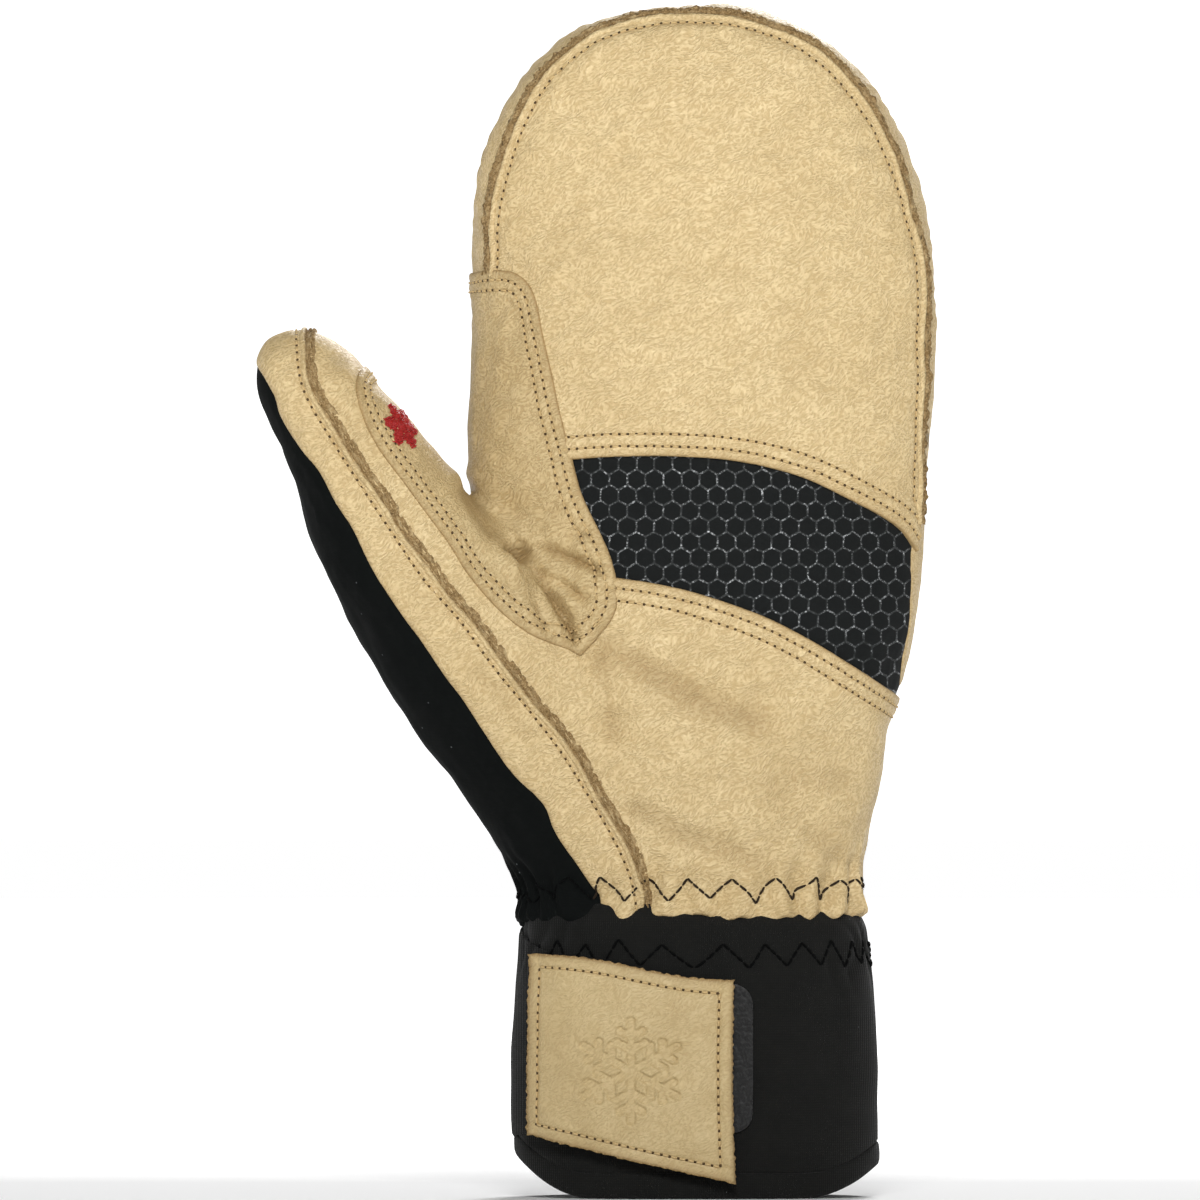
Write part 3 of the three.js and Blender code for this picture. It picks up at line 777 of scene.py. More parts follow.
STITCH_PITCH, STITCH_LENGTH, THREAD = 2.15, 1.5, 0.27
HOLE, HOLE_LIFT = 0.46, 0.16


def stitching(name, runs, thread, mover, slot, holes=True):
    """One row of stitches along each run: a short arched thread between needle holes."""
    paths, dots = [], []
    arch = np.array([-1, -0.7, 0, 0.7, 1])[:, None] * STITCH_LENGTH / 2
    rise = np.array([-0.3, 0.2, 0.3, 0.2, -0.3])[:, None]
    for points, normals in runs:
        for p, u, a in zip(*resample(points, normals, STITCH_PITCH, STITCH_PITCH / 2)):
            paths.append((p + arch * a + rise * u, np.repeat(u[None], 5, 0), [0.6, 1, 1.05, 1, 0.6]))
            dots.append((p + a * STITCH_PITCH / 2 + u * HOLE_LIFT, u, a))
    belongs(mesh_piece(name, *tubes(paths, THREAD), thread, crease=0), mover, slot)
    if holes:
        belongs(hole_dots(name.replace("stitching", "needle_holes"), dots), mover, slot)


def hole_dots(name, dots):
    """Small dark dimples: a flat hexagon whose middle is pushed in."""
    points, faces = [], []
    for p, u, a in dots:
        b = np.cross(u, a)
        start = len(points)
        turns = [k * math.pi / 3 for k in range(6)]
        points += [p + HOLE * (math.cos(turn) * a + 0.75 * math.sin(turn) * b) for turn in turns]
        points += [p - 0.25 * u]
        faces += [[start + k, start + (k + 1) % 6, start + 6] for k in range(6)]
        faces += [[start + k for k in reversed(range(6))]]
    return mesh_piece(name, np.array(points), faces, MATERIALS["hole"], crease=0)


# Across an outseam: a smooth ridge, then the raw edges. The last number says how rough and how raw the point is.
LIPS = np.array([
    [-2.1, -0.9, 0], [-1.95, 0.5, 0], [-1.6, 1.2, 0], [-1.1, 1.55, 0.05], [-0.65, 1.35, 0.3], [-0.35, 0.8, 0.9],
    [-0.1, 0.45, 1], [0.25, 1.1, 1], [0.65, 1.45, 1], [1.05, 0.85, 1], [1.5, 1.3, 1], [2.0, 1.1, 1],
    [2.5, 0.4, 0.7], [2.7, -0.9, 0.2],
])
LIP_STEP, LIP_SEED = 0.55, 11
NUB_RISE, NUB_WIDTH = 0.9, 1.5


def lips(name, run, mover, away_from, size=1.0, blunt=False, nub=None):
    """An outseam. A smooth ridge of leather stands on the side of the point away_from, and behind it lie the rough
    raw edges of the cut. A nub is a place where it stands higher."""
    profile, raw = LIPS[:, :2] * size, LIPS[:, 2]
    where, up, ahead = resample(*run, LIP_STEP)
    beside = np.cross(ahead, up)
    if (beside * (where - np.array(away_from))).sum() < 0:
        beside, profile, raw = -beside, profile[::-1], raw[::-1]
    count, sides = len(where), len(profile)
    stops = np.arange(count)
    taper = np.ones(count) if blunt else np.clip(np.minimum(stops, count - 1 - stops) / 8, 0.1, 1)
    if nub is not None:
        taper = taper + NUB_RISE * bell(np.linalg.norm(where - np.array(nub), axis=1), NUB_WIDTH)
    spread = np.repeat(where, sides, 0) + np.tile(np.column_stack([profile, 0 * raw]), (count, 1)) * 3
    rough = 0.2 * waves(spread, 2.3, LIP_SEED) + 0.15 * waves(spread, 1.1, LIP_SEED + 1)
    rough = rough.reshape(count, sides) * raw
    wander = waves(where, 16, LIP_SEED + 2)[:, None] * 0.22
    ring = where[:, None] + beside[:, None] * (profile[:, 0] + wander + 0.4 * rough)[..., None]
    ring = ring + up[:, None] * ((profile[:, 1] + rough) * taper[:, None] - 0.2)[..., None]
    rawness = np.clip(np.tile(raw, count) * (1 + 0.25 * waves(spread, 4, LIP_SEED + 3)), 0, 1)
    fields = {"edge": np.full(count * sides, FAR_FROM_EDGE), "raw": rawness}
    faces = tube_faces(count, sides) + tube_ends(count, sides)
    piece = mesh_piece(name, ring.reshape(-1, 3), faces, MATERIALS["leather"], fields, crease=0)
    belongs(piece, mover, "leather_tan")


# ---------- materials ----------
class Shader:
    """A material's node tree, with a short way to add a node."""

    def __init__(self, name):
        self.material = bpy.data.materials.new(name)
        self.material.use_nodes = True
        self.tree = self.material.node_tree
        self.surface = self.tree.nodes["Principled BSDF"]

    def add(self, kind, properties=None, **inputs):
        node = self.tree.nodes.new("ShaderNode" + kind)
        for key, value in (properties or {}).items():
            setattr(node, key, value)
        for key, value in inputs.items():
            self.set(node.inputs[key.replace("_", " ")], value)
        return node

    def set(self, socket, value):
        if isinstance(value, bpy.types.NodeSocket):
            self.tree.links.new(value, socket)
        else:
            socket.default_value = value

    def field(self, name):
        return self.add("Attribute", {"attribute_name": name}).outputs["Fac"]

    def place(self):
        """The drawn place of the surface, in millimetres, so that a pattern stays put as the piece bends."""
        return self.add("Attribute", {"attribute_name": "drawn"}).outputs["Vector"]

    def scaled(self, vector, scale):
        node = self.add("VectorMath", {"operation": "MULTIPLY"})
        self.set(node.inputs[0], vector)
        node.inputs[1].default_value = scale
        return node.outputs[0]

    def math(self, operation, a, b=0.0, c=0.0):
        node = self.add("Math", {"operation": operation})
        for socket, value in zip(node.inputs, (a, b, c)):
            self.set(socket, value)
        return node.outputs[0]

    def ramp(self, factor, stops):
        node = self.add("ValToRGB", Fac=factor)
        elements = node.color_ramp.elements
        while len(elements) < len(stops):
            elements.new(0.5)
        for element, (position, value) in zip(elements, stops):
            element.position = position
            element.color = (*value, 1) if hasattr(value, "__len__") else (value, value, value, 1)
        return node.outputs["Color"]

    def mix(self, factor, a, b, blend="MIX"):
        node = self.add("Mix", {"data_type": "RGBA", "blend_type": blend})
        self.set(node.inputs[0], factor)
        self.set(node.inputs[6], (*a, 1) if isinstance(a, tuple) else a)
        self.set(node.inputs[7], (*b, 1) if isinstance(b, tuple) else b)
        return node.outputs[2]

    def noise(self, vector, scale, detail=2.0, roughness=0.5):
        return self.add("TexNoise", Vector=vector, Scale=scale, Detail=detail,
                        Roughness=roughness).outputs["Fac"]

    def cells(self, vector, scale, feature="F1", randomness=1.0):
        node = self.add("TexVoronoi", {"feature": feature}, Vector=vector, Scale=scale, Randomness=randomness)
        return node.outputs["Distance"]

    def bump(self, height, distance, strength=1.0, after=None):
        node = self.add("Bump", Height=height, Distance=distance * MM, Strength=strength)
        if after is not None:
            self.set(node.inputs["Normal"], after)
        return node.outputs["Normal"]

    def finish(self, **inputs):
        for key, value in inputs.items():
            self.set(self.surface.inputs[key.replace("_", " ")], value)
        return self.material


# How far the leather's wrinkles lean from level, going up to the right.
WRINKLE_TURN = 0.55


def srgb(r, g, b):
    """Display numbers from 0 to 255 as linear colour."""
    return tuple(((c / 255 + 0.055) / 1.055) ** 2.4 if c > 10 else c / 255 / 12.92 for c in (r, g, b))


def leather_material(name, tint=(1, 1, 1), grain=1.0):
    """Tan goat leather: fine drawn-out wrinkles, pebbles between them, painted shade in the grain's valleys and in
    the creases, darker edges that are partly the cut edge's own colour and partly painted shade, and a suede cut
    face.
    """
    s = Shader(name)
    at = s.place()
    warp = s.add("TexNoise", Vector=at, Scale=0.16, Detail=1.0).outputs["Color"]
    bent = s.add("VectorMath", {"operation": "MULTIPLY_ADD"})
    s.set(bent.inputs[0], warp)
    bent.inputs[1].default_value = (4.0, 4.0, 4.0)
    s.set(bent.inputs[2], at)
    warped = bent.outputs[0]
    turned = s.add("VectorRotate", {"rotation_type": "Y_AXIS"}, Vector=warped,
                   Angle=WRINKLE_TURN).outputs["Vector"]
    wrinkles = s.noise(s.scaled(turned, (0.5, 0.9, 1.2)), 1.75, 1.0, 0.5)
    ridges = s.ramp(wrinkles, [(0.4, 0.0), (0.5, 0.6), (0.6, 1.0)])
    pebbles = s.cells(s.scaled(turned, (0.8, 1.0, 1.1)), 1.35, "DISTANCE_TO_EDGE")
    pebble_height = s.math("MINIMUM", s.math("MULTIPLY", pebbles, 3.0), 1.0)
    surface = s.math("MULTIPLY_ADD", ridges, 0.65, s.math("MULTIPLY", pebble_height, 0.35))
    broad, patchy = s.noise(at, 0.035, 2.0), s.noise(at, 0.15, 3.0)
    tone = s.math("MULTIPLY_ADD", broad, 0.5, s.math("MULTIPLY", patchy, 0.5))
    tinted = lambda *colour: tuple(c * t for c, t in zip(srgb(*colour), tint))
    colour = s.ramp(tone, [(0.3, tinted(213, 189, 141)), (0.5, tinted(223, 200, 152)),
                           (0.7, tinted(230, 208, 161))])
    # Painted shade in the grain's valleys: the lower the grain, the darker the colour.
    low = s.math("MULTIPLY", s.math("SUBTRACT", 1.0, surface), 0.66 * grain)
    colour = s.mix(low, colour, tinted(174, 144, 94))
    # Painted shade in the creases: the deeper the crease, the darker the colour.
    colour = s.mix(s.math("MULTIPLY", s.field("dip"), 0.6), colour, tinted(150, 121, 74))
    # Darker towards each panel's edge: partly the cut edge's own darker colour, partly painted shade where the
    # edge turns under or laps.
    near = s.ramp(s.math("DIVIDE", s.field("edge"), 3.0), [(0.02, 0.85), (0.2, 0.38), (0.55, 0.1), (1.0, 0.0)])
    colour = s.mix(near, colour, tinted(168, 139, 92))
    raw = s.field("raw")
    suede = s.ramp(s.noise(at, 1.9, 5.0, 0.75),
                   [(0.32, srgb(98, 74, 42)), (0.5, srgb(142, 115, 73)), (0.68, srgb(192, 165, 120))])
    colour = s.mix(raw, colour, suede)
    normal = s.bump(surface, 0.21, grain)
    normal = s.bump(s.noise(at, 0.16, 1.0), 0.9, 0.5, normal)
    rough = s.mix(raw, s.ramp(surface, [(0.3, 0.62), (0.9, 0.46)]), (0.95, 0.95, 0.95))
    return s.finish(Base_Color=colour, Roughness=rough, Normal=normal, Specular_IOR_Level=0.38)


def fabric_material(name, dark, light, weave=1.4, depth=0.12, rough=0.85, sheen=0.15, lint=0.0, gloss=0.18):
    """Knit or woven cloth: a fine weave, a little mottling and, on black cloth, some lint."""
    s = Shader(name)
    at = s.place()
    bands = []
    for axis, scale, wobble in (("X", weave, 0.6), ("Z", weave * 0.8, 0.8)):
        wave = s.add("TexWave", {"wave_type": "BANDS", "bands_direction": axis, "wave_profile": "SIN"},
                     Vector=at, Scale=scale, Distortion=wobble, Detail=1.0, Detail_Scale=2.0)
        bands.append(wave.outputs["Fac"])
    threads = s.math("MULTIPLY", bands[0], s.math("MULTIPLY_ADD", bands[1], 0.6, 0.4))
    mottle = s.noise(at, 0.12, 3.0)
    colour = s.mix(s.math("MULTIPLY", s.math("ADD", threads, mottle), 0.5), dark, light)
    if lint:
        spots = s.ramp(s.cells(at, 0.16), [(0.0, 1.0), (lint, 0.0)])
        colour = s.mix(spots, colour, srgb(120, 124, 126))
    normal = s.bump(s.math("ADD", threads, s.math("MULTIPLY", s.noise(at, 3.0, 2.0), 0.5)), depth, 0.8)
    return s.finish(Base_Color=colour, Roughness=rough, Normal=normal, Specular_IOR_Level=gloss,
                    Sheen_Weight=sheen,
                    Sheen_Roughness=0.5)


def thread_material(name, colour, rough=0.6, gloss=0.4):
    s = Shader(name)
    at = s.place()
    ply = s.noise(at, 3.0, 2.0)
    shade = s.mix(ply, tuple(c * 0.7 for c in colour), tuple(min(1, c * 1.15) for c in colour))
    return s.finish(Base_Color=shade, Roughness=rough, Normal=s.bump(ply, 0.1, 0.8), Specular_IOR_Level=gloss)


def hex_grid(s, x, z, pitch):
    """Distance from the nearest edge of a honeycomb with upright sides, from 0 on an edge to 0.5 at a middle."""
    tall = pitch * math.sqrt(3)

    def lattice(shift):
        ax, az = (s.math("ABSOLUTE", s.math("WRAP", s.math("ADD", at, shift * period), period / 2, -period / 2))
                  for at, period in ((x, pitch), (z, tall)))
        slant = s.math("MULTIPLY_ADD", ax, 0.5, s.math("MULTIPLY", az, math.sqrt(3) / 2))
        return s.math("MAXIMUM", ax, slant)

    reach = s.math("MINIMUM", lattice(0.0), lattice(0.5))
    return s.math("SUBTRACT", 0.5, s.math("DIVIDE", reach, pitch))


HEX_PITCH = 4.5


def grip_material():
    """Black suede printed with thin, slightly glossy honeycomb lines, with painted highlights in the lines'
    colour.
    """
    s = Shader("grip_print")
    at = s.place()
    split = s.add("SeparateXYZ", Vector=at)
    wobble = s.math("MULTIPLY", s.math("SUBTRACT", s.noise(at, 0.5, 2.0), 0.5), 0.5)
    away = hex_grid(s, s.math("ADD", split.outputs["X"], wobble), s.math("ADD", split.outputs["Z"], wobble),
                    HEX_PITCH)
    line = s.ramp(away, [(0.0, 1.0), (0.035, 0.9), (0.075, 0.0)])
    worn = s.ramp(s.noise(at, 0.35, 4.0, 0.7), [(0.35, 0.25), (0.62, 1.0)])
    line = s.math("MULTIPLY", line, worn)
    # Painted highlights: bright silver spots on the lines stand for glints on the glossy print.
    painted_glint = s.ramp(s.noise(at, 1.7, 3.0, 0.8), [(0.53, 0.0), (0.62, 1.0)])
    suede = s.mix(s.noise(at, 1.2, 4.0, 0.7), srgb(9, 11, 11), srgb(21, 24, 24))
    ink = s.mix(s.math("MULTIPLY", painted_glint, line), srgb(50, 53, 53), srgb(222, 226, 228))
    colour = s.mix(line, suede, ink)
    normal = s.bump(s.noise(at, 2.5, 3.0, 0.7), 0.12, 0.7)
    normal = s.bump(line, 0.16, 1.0, normal)
    return s.finish(Base_Color=colour, Roughness=s.ramp(line, [(0.0, 0.9), (1.0, 0.42)]), Normal=normal,
                    Specular_IOR_Level=0.25)


def hole_material():
    s = Shader("needle_hole")
    at = s.place()
    return s.finish(Base_Color=s.mix(s.noise(at, 1.0), srgb(66, 48, 26), srgb(104, 80, 46)), Roughness=0.9)


MATERIALS = {
    "leather": leather_material("tan_leather"),
    # A darker copy of the leather for the two saddle panels: painted shade for the hollow between thumb and
    # fingers.
    "leather_saddle_painted_shade": leather_material("tan_leather_saddle", (0.88, 0.87, 0.84)),
    "leather_patch": leather_material("tan_leather_patch", (0.79, 0.78, 0.74), 0.6),
    "softshell": fabric_material("black_softshell", srgb(6, 8, 8), srgb(15, 18, 17), 1.1, 0.07, 0.9, 0.0, 0.05,
                                 0.1),
    "grip": grip_material(),
    "cuff": fabric_material("black_neoprene", srgb(12, 13, 12), srgb(28, 28, 26), 0.62, 0.14, 0.95, 0.05, 0.03),
    "fleece": fabric_material("grey_fleece", srgb(92, 94, 96), srgb(132, 134, 136), 0.9, 0.5, 0.95, 0.5),
    "wadding": fabric_material("white_wadding", srgb(214, 214, 208), srgb(236, 236, 231), 0.2, 0.4, 0.95),
    "elastic": fabric_material("white_elastic", srgb(196, 194, 186), srgb(226, 224, 216), 1.6, 0.3, 0.8),
    "webbing": fabric_material("black_webbing", srgb(12, 13, 13), srgb(30, 31, 30), 1.2, 0.2, 0.8),
    "rib": fabric_material("black_rib", srgb(11, 12, 11), srgb(28, 28, 26), 0.75, 0.25, 0.95, 0.05),
    "hook": fabric_material("hook_plastic", srgb(14, 14, 15), srgb(34, 34, 36), 2.0, 0.1, 0.45, 0.0),
    "loop": fabric_material("loop_pile", srgb(6, 7, 7), srgb(19, 19, 19), 2.4, 0.4, 0.95, 0.2),
    "thread_red": thread_material("red_thread", srgb(168, 26, 26), 0.45),
    "thread_tan": thread_material("tan_thread", srgb(206, 178, 126)),
    "thread_brown": thread_material("dark_brown_thread", srgb(46, 36, 24), 0.8, 0.2),
    "thread_black": thread_material("black_thread", srgb(5, 6, 6), 0.9, 0.1),
    "thread_back": thread_material("charcoal_thread", srgb(52, 55, 56), 0.7, 0.3),
    "hole": hole_material(),
}


# ---------- shell panels ----------
EDGE_UNDER = -1.6
on_thumb = smoothstep(3, 13, SKIN["thumbness"])
slope = np.sqrt(np.maximum(1 - n[:, 1] ** 2, 0.1))
SKIN["hem"] = p[:, 2] - 69.9 - 0.022 * (p[:,
                                          0] - 25) - 0.6 * np.sin(around_wrist(p) * 2 * math.pi / GATHER_PITCH) \
    - 0.5 * waves(p, 15, 9)
UNDER_SADDLE_X = -14.0
west = UNDER_SADDLE_X - p[:, 0]
SKIN["east"] = -west
SKIN["heel_top"] = np.maximum(-SKIN["band_bottom"], np.minimum(west, -SKIN["fold"]))
# Under the crotch the leather doesn't reach round to the back of the groove between the thumb and the hand.
groove = 14 * bell(SKIN["thumbness"], 10) * smoothstep(125, 140, p[:, 2])
SKIN["palm"] = (3 - np.maximum(23 * on_thumb, groove) - p[:, 1]) / slope
SKIN["saddle_depth"] = np.minimum((-2 - 18 * on_thumb - p[:, 1]) / slope, 8 * (0.6 - n[:, 1]))
SKIN["front"] = -p[:, 1] - 6
SKIN["finger_face"] = np.minimum(SKIN["tip"], SKIN["front"])
SKIN["wrap_face"] = -SKIN["finger_face"]
SKIN["wrap_low"] = np.where(p[:, 0] < 25, SKIN["band_top"], p[:, 2] - 187.5)
SKIN["side_depth"] = (4 - p[:, 1]) / slope
SKIN["strip_top"] = 191 - p[:, 2]
SKIN["behind"] = (p[:, 1] + np.where(on_thumb > 0, 12 + 22 * on_thumb, 12)) / slope
BACK_INSET, BACK_FOOT, BACK_SIDES = 12.0, 150, (-19.5, 71.5)
back_arch = [(BACK_SIDES[1], BACK_FOOT), *dome_arch(BACK_INSET, 60), (BACK_SIDES[0], BACK_FOOT)]
back_oval = edge_distance(closed(np.array(back_arch), [(x, BACK_FOOT - 50) for x in BACK_SIDES]), p, n)
SKIN["back_face"] = np.minimum(back_oval, p[:, 1] - 1)
SKIN["thumb_back"] = np.maximum(SKIN["behind"], -SKIN["outer"] + 1.5)
# How far each row of stitching lies from its edge.
BAND_ROWS, SADDLE_ROWS = (2.6, 5.6), (2.5, 5.0)
TIP_ROWS, THENAR_ROWS, BAND_BACK_ROWS, ARCH_ROWS = (2.7,), (2.5,), (2.6,), (3.0,)


def rows(field, depths):
    return [(field, depth) for depth in depths]


def sewn(name, mover, nodes, limits, material="leather", slot="leather_tan", refine=False, **shape):
    """A panel of the shell, which stands for the CAD nodes. Returns its sheet."""
    sheet = cut(SKIN, *limits)
    if refine:
        sheet = refined(sheet)
    belongs(panel(name, sheet, MATERIALS[material], **shape), mover, slot, *nodes)
    return sheet


def softshell(name, mover, nodes, limits, **shape):
    return sewn(name, mover, nodes, limits, "softshell", "softshell_black", base=SHELL_BASE, **shape)


SHELL_BASE, GRIP_BASE, THENAR_BASE = -0.45, -0.35, 0.15
UNDER_SADDLE = ("-saddle", EDGE_UNDER)
HEM_ROLL, PALM_ROLL, SADDLE_ROLL = ("hem", 0.7, 1.6), ("palm", 0.4, 1.2), ("saddle_depth", 0.4, 1.2)
finger_sheet = sewn(
    "palm_finger_leather", "finger_flex", ["palm_finger_panel"],
    [("finger_face", 0), ("band_top", 0), UNDER_SADDLE, ("fold", 0)],
    laps=["band_top"], rolls=[("tip", 0.5, 1.8)], rows=rows("band_top", BAND_ROWS) + rows("tip", TIP_ROWS))
sewn("fingertip_wrap_leather", "finger_flex", ["fingertip_wrap"],
     [("wrap_face", 0), ("wrap_low", 0), UNDER_SADDLE, ("-back_face", 0), ("fold", 0)],
     rolls=[("-tip", 0.5, 1.6), ("-back_face", 0.4, 1.2)])
# The saddle panels take the darker leather copy, which paints the shade of the crotch's hollow.
saddle_sheets = [
    sewn(name, mover, nodes, [("saddle", 0), ("saddle_depth", 0), (side, 0)], "leather_saddle_painted_shade",
         laps=["saddle"], rolls=[SADDLE_ROLL], rows=rows("saddle", SADDLE_ROWS))
    for name, mover, nodes, side in [
        ("saddle_index_leather", "finger_flex", ["saddle_index_side", "saddle_web"], "fold"),
        ("saddle_thumb_leather", "thumb_flex", ["thumb_saddle_panel"], "-fold"),
    ]
]
sewn("grip_band_suede", "finger_flex", ["grip_band"],
     [("band_bottom", EDGE_UNDER), ("-band_top", EDGE_UNDER), UNDER_SADDLE, ("-band_side", -0.5), ("front", -6),
      ("east", 0)], "grip", "grip_black", refine=True, base=GRIP_BASE)
heel_sheet = sewn(
    "palm_heel_leather", "thumb_flex", ["palm_heel_panel", "thumb_palm_tongue"],
    [("heel_top", 0), ("outseam", 0), UNDER_SADDLE, ("hem", 0), ("palm", 0)],
    laps=["heel_top"], rolls=[("outseam", 0.5, 1.6), PALM_ROLL, HEM_ROLL], rows=rows("heel_top", BAND_ROWS))
thenar_sheet = sewn(
    "thenar_leather", "thumb_flex", ["thenar_panel", "thumb_outer_panel"],
    [("outer", 0), ("-outseam", 0), ("hem", 0), ("palm", 0)], base=THENAR_BASE,
    rolls=[("-outseam", 0.5, 1.6), ("outer", 0.7, 1.8), HEM_ROLL, PALM_ROLL],
    rows=rows("-outseam", THENAR_ROWS))
sewn("little_finger_side_leather", "finger_flex", ["little_finger_side_panel"],
     [("band_side", 0), ("band_bottom", EDGE_UNDER), ("side_depth", 0), ("strip_top", 0)],
     rolls=[("band_side", 0.5, 1.4), ("side_depth", 0.4, 1.2)])
back_finger_sheet = softshell(
    "finger_back_softshell", "finger_flex", ["finger_back_panel"],
    [("behind", 0), ("band_top", 0), ("fold", 0)],
    rolls=[("band_top", 0.6, 1.4)], rows=rows("band_top", BAND_BACK_ROWS) + rows("back_face", ARCH_ROWS))
back_hand_sheet = softshell(
    "hand_back_softshell", "finger_flex", ["back_hand_panel"],
    [("behind", 0), ("-band_top", 0), ("fold", 0), ("hem", 0)],
    rolls=[("-band_top", 0.6, 1.4), HEM_ROLL], rows=rows("-band_top", BAND_BACK_ROWS))
back_thumb_sheet = softshell(
    "thumb_back_softshell", "thumb_flex", ["thumb_back_panel"], [("thumb_back", 0), ("-fold", 0), ("hem", 0)],
    rolls=[HEM_ROLL])

# ---------- stitching and outseams ----------
for name, sheet, field, depths, mover in [
    ("finger_band", finger_sheet, "band_top", BAND_ROWS, "finger_flex"),
    ("saddle_index", saddle_sheets[0], "saddle", SADDLE_ROWS, "finger_flex"),
    ("saddle_thumb", saddle_sheets[1], "saddle", SADDLE_ROWS, "thumb_flex"),
    ("heel_band", heel_sheet, "heel_top", BAND_ROWS, "thumb_flex"),
    ("thenar", thenar_sheet, "-outseam", THENAR_ROWS, "thumb_flex"),
    ("tip", finger_sheet, "tip", TIP_ROWS, "finger_flex"),
    ("back_fingers", back_finger_sheet, "band_top", BAND_BACK_ROWS, "finger_flex"),
    ("back_arch", back_finger_sheet, "back_face", ARCH_ROWS, "finger_flex"),
    ("back_hand", back_hand_sheet, "-band_top", BAND_BACK_ROWS, "finger_flex"),
]:
    runs = [run for depth in depths for run in runs_of(sheet, field, depth)]
    if name.startswith("back"):
        runs = [run for run in runs if run[1][:, 1].mean() > 0.3]
        stitching("stitching_" + name, runs, MATERIALS["thread_back"], mover, "softshell_black", holes=False)
    else:
        stitching("stitching_" + name, runs, MATERIALS["thread_tan"], mover, "leather_tan")


def seam_run(sheet, border, field, reach=0.4):
    """The part of a sheet's border that lies on a field's zero."""
    runs = []
    for run in sheet.lines(border, 0):
        on = np.abs(sheet[field][run]) < reach
        parts = np.split(np.arange(len(run)), np.flatnonzero(np.diff(on.astype(int))) + 1)
        runs += [[run[i] for i in part] for part in parts if on[part[0]]]
    return outer_run(sheet, max(runs, key=len))


HAND_HEART, THENAR_HEART = (26, 0, 215), (-90, 0, 90)
TIP_NUB = (26.5, -8, 295.5)
lips("tip_outseam", seam_run(finger_sheet, "finger_face", "tip"), "finger_flex", HAND_HEART, blunt=True,
     nub=TIP_NUB)
longest = max(runs_of(heel_sheet, "outseam", 0), key=lambda run: len(run[0]))
lips("thumb_outseam", longest, "thumb_flex", THENAR_HEART, size=0.9)


# ---------- cuff ----------
CUFF = [
    [-2, -20.4, 68.8, -33, 23], [8, -21, 69.4, -33.6, 23.6], [30, -21.0, 69.4, -34, 24],
    [48, -21, 68.5, -33.4, 23.6],
    [58, -21.0, 68.2, -32, 22.8], [64, -20.9, 67.4, -30.5, 21.4], [68, -20.6, 66.6, -28.6, 20],
    [71, -19.9, 65, -25.8, 18.6],
    [74, -18.6, 62.8, -23.6, 17], [77, -18.2, 62.2, -23, 16.6],
]
CUFF_POWER = 2.35
HEM_TALL, CUFF_WALL = 6.2, 3.0
CUFF_GATHER = 61.0


def cuff_point(angle, z, out):
    """Places on the cuff, out millimetres from its plain surface. The angle is 0 at the right, -pi/2 in front."""
    angle, z, out = np.broadcast_arrays(angle, z, out)
    left, right, front, back = (v.reshape(z.shape) for v in along(CUFF, z.ravel()))
    c, s = np.cos(angle), np.sin(angle)
    wide, deep = (right - left) / 2, (back - front) / 2
    x = wide * np.sign(c) * np.abs(c) ** (2 / CUFF_POWER)
    y = deep * np.sign(s) * np.abs(s) ** (2 / CUFF_POWER)
    n = unit(np.stack([np.sign(x) * np.abs(x / wide) ** (CUFF_POWER - 1) / wide,
                       np.sign(y) * np.abs(y / deep) ** (CUFF_POWER - 1) / deep, 0 * x], -1))
    return np.stack([(left + right) / 2 + x, (front + back) / 2 + y, z], -1) + n * out[..., None]


def cuff_angle(x, z):
    """The angle of the palm-side point of the cuff at x."""
    left, right, _, _ = along(CUFF, np.ravel(z))
    share = np.clip((np.ravel(x) - (left + right) / 2) / ((right - left) / 2), -1, 1)
    return -np.arccos(np.sign(share) * np.abs(share) ** (CUFF_POWER / 2)).reshape(np.shape(x))


def hem_rise(angle):
    """The cuff's lower edge is flat in front and behind and curves up at its sides."""
    share = np.sign(np.cos(angle)) * np.abs(np.cos(angle)) ** (2 / CUFF_POWER)
    return np.where(share < 0, 10.0, 7.5) * np.clip((np.abs(share) - 0.55) / 0.45, 0, 1) ** 2.4


def cuff_relief(p):
    """Puckers under the cuff's elastic, and a soft unevenness."""
    u = around_wrist(p) + 1.2 * waves(p, 30, 21)
    fold = np.abs(np.sin(u * math.pi / GATHER_PITCH + 0.6 * waves(p, 18, 22)))
    pull = bell(p[:, 2] - CUFF_GATHER, 7.5)
    return pull * (0.9 * fold - 1.25) * (0.8 + 0.3 * waves(p, 26, 23)) + 0.45 * waves(p, 48,
                                                                                      24) + 0.1 * waves(p, 14,
                                                                                                        25)


def sleeve(name, profile, material, relief_share, steps=360):
    """A closed tube round the cuff. Its profile is a closed loop of (height in front, millimetres outwards)."""
    angle = np.linspace(0, 2 * math.pi, steps, endpoint=False)
    heights, outs = np.array(profile, float).T[..., None]
    z = heights + hem_rise(angle) * (1 - smoothstep(8, 45, heights))
    plain = cuff_point(angle, z, outs).reshape(-1, 3)
    points = cuff_point(angle, z, outs + cuff_relief(plain).reshape(z.shape) * relief_share(heights))
    faces = np.array(tube_faces(len(profile) + 1, steps)) % len(plain)
    return mesh_piece(name, points.reshape(-1, 3), faces, material, drawn=plain)


def loop_profile(low, high, step, out, wall):
    """The profile of a wall between two heights, rounded over at its top."""
    up = np.arange(low, high, step)
    outer = [(h, out) for h in up]
    outer[0] = (low, out - 0.5)
    turn = [(high, out - 0.3), (high + 0.3, out - wall / 2), (high, out - wall + 0.3)]
    inner = [(h, out - wall) for h in up[::-4]]
    return outer + turn + inner


def calm(heights):
    return smoothstep(0, 4, heights)


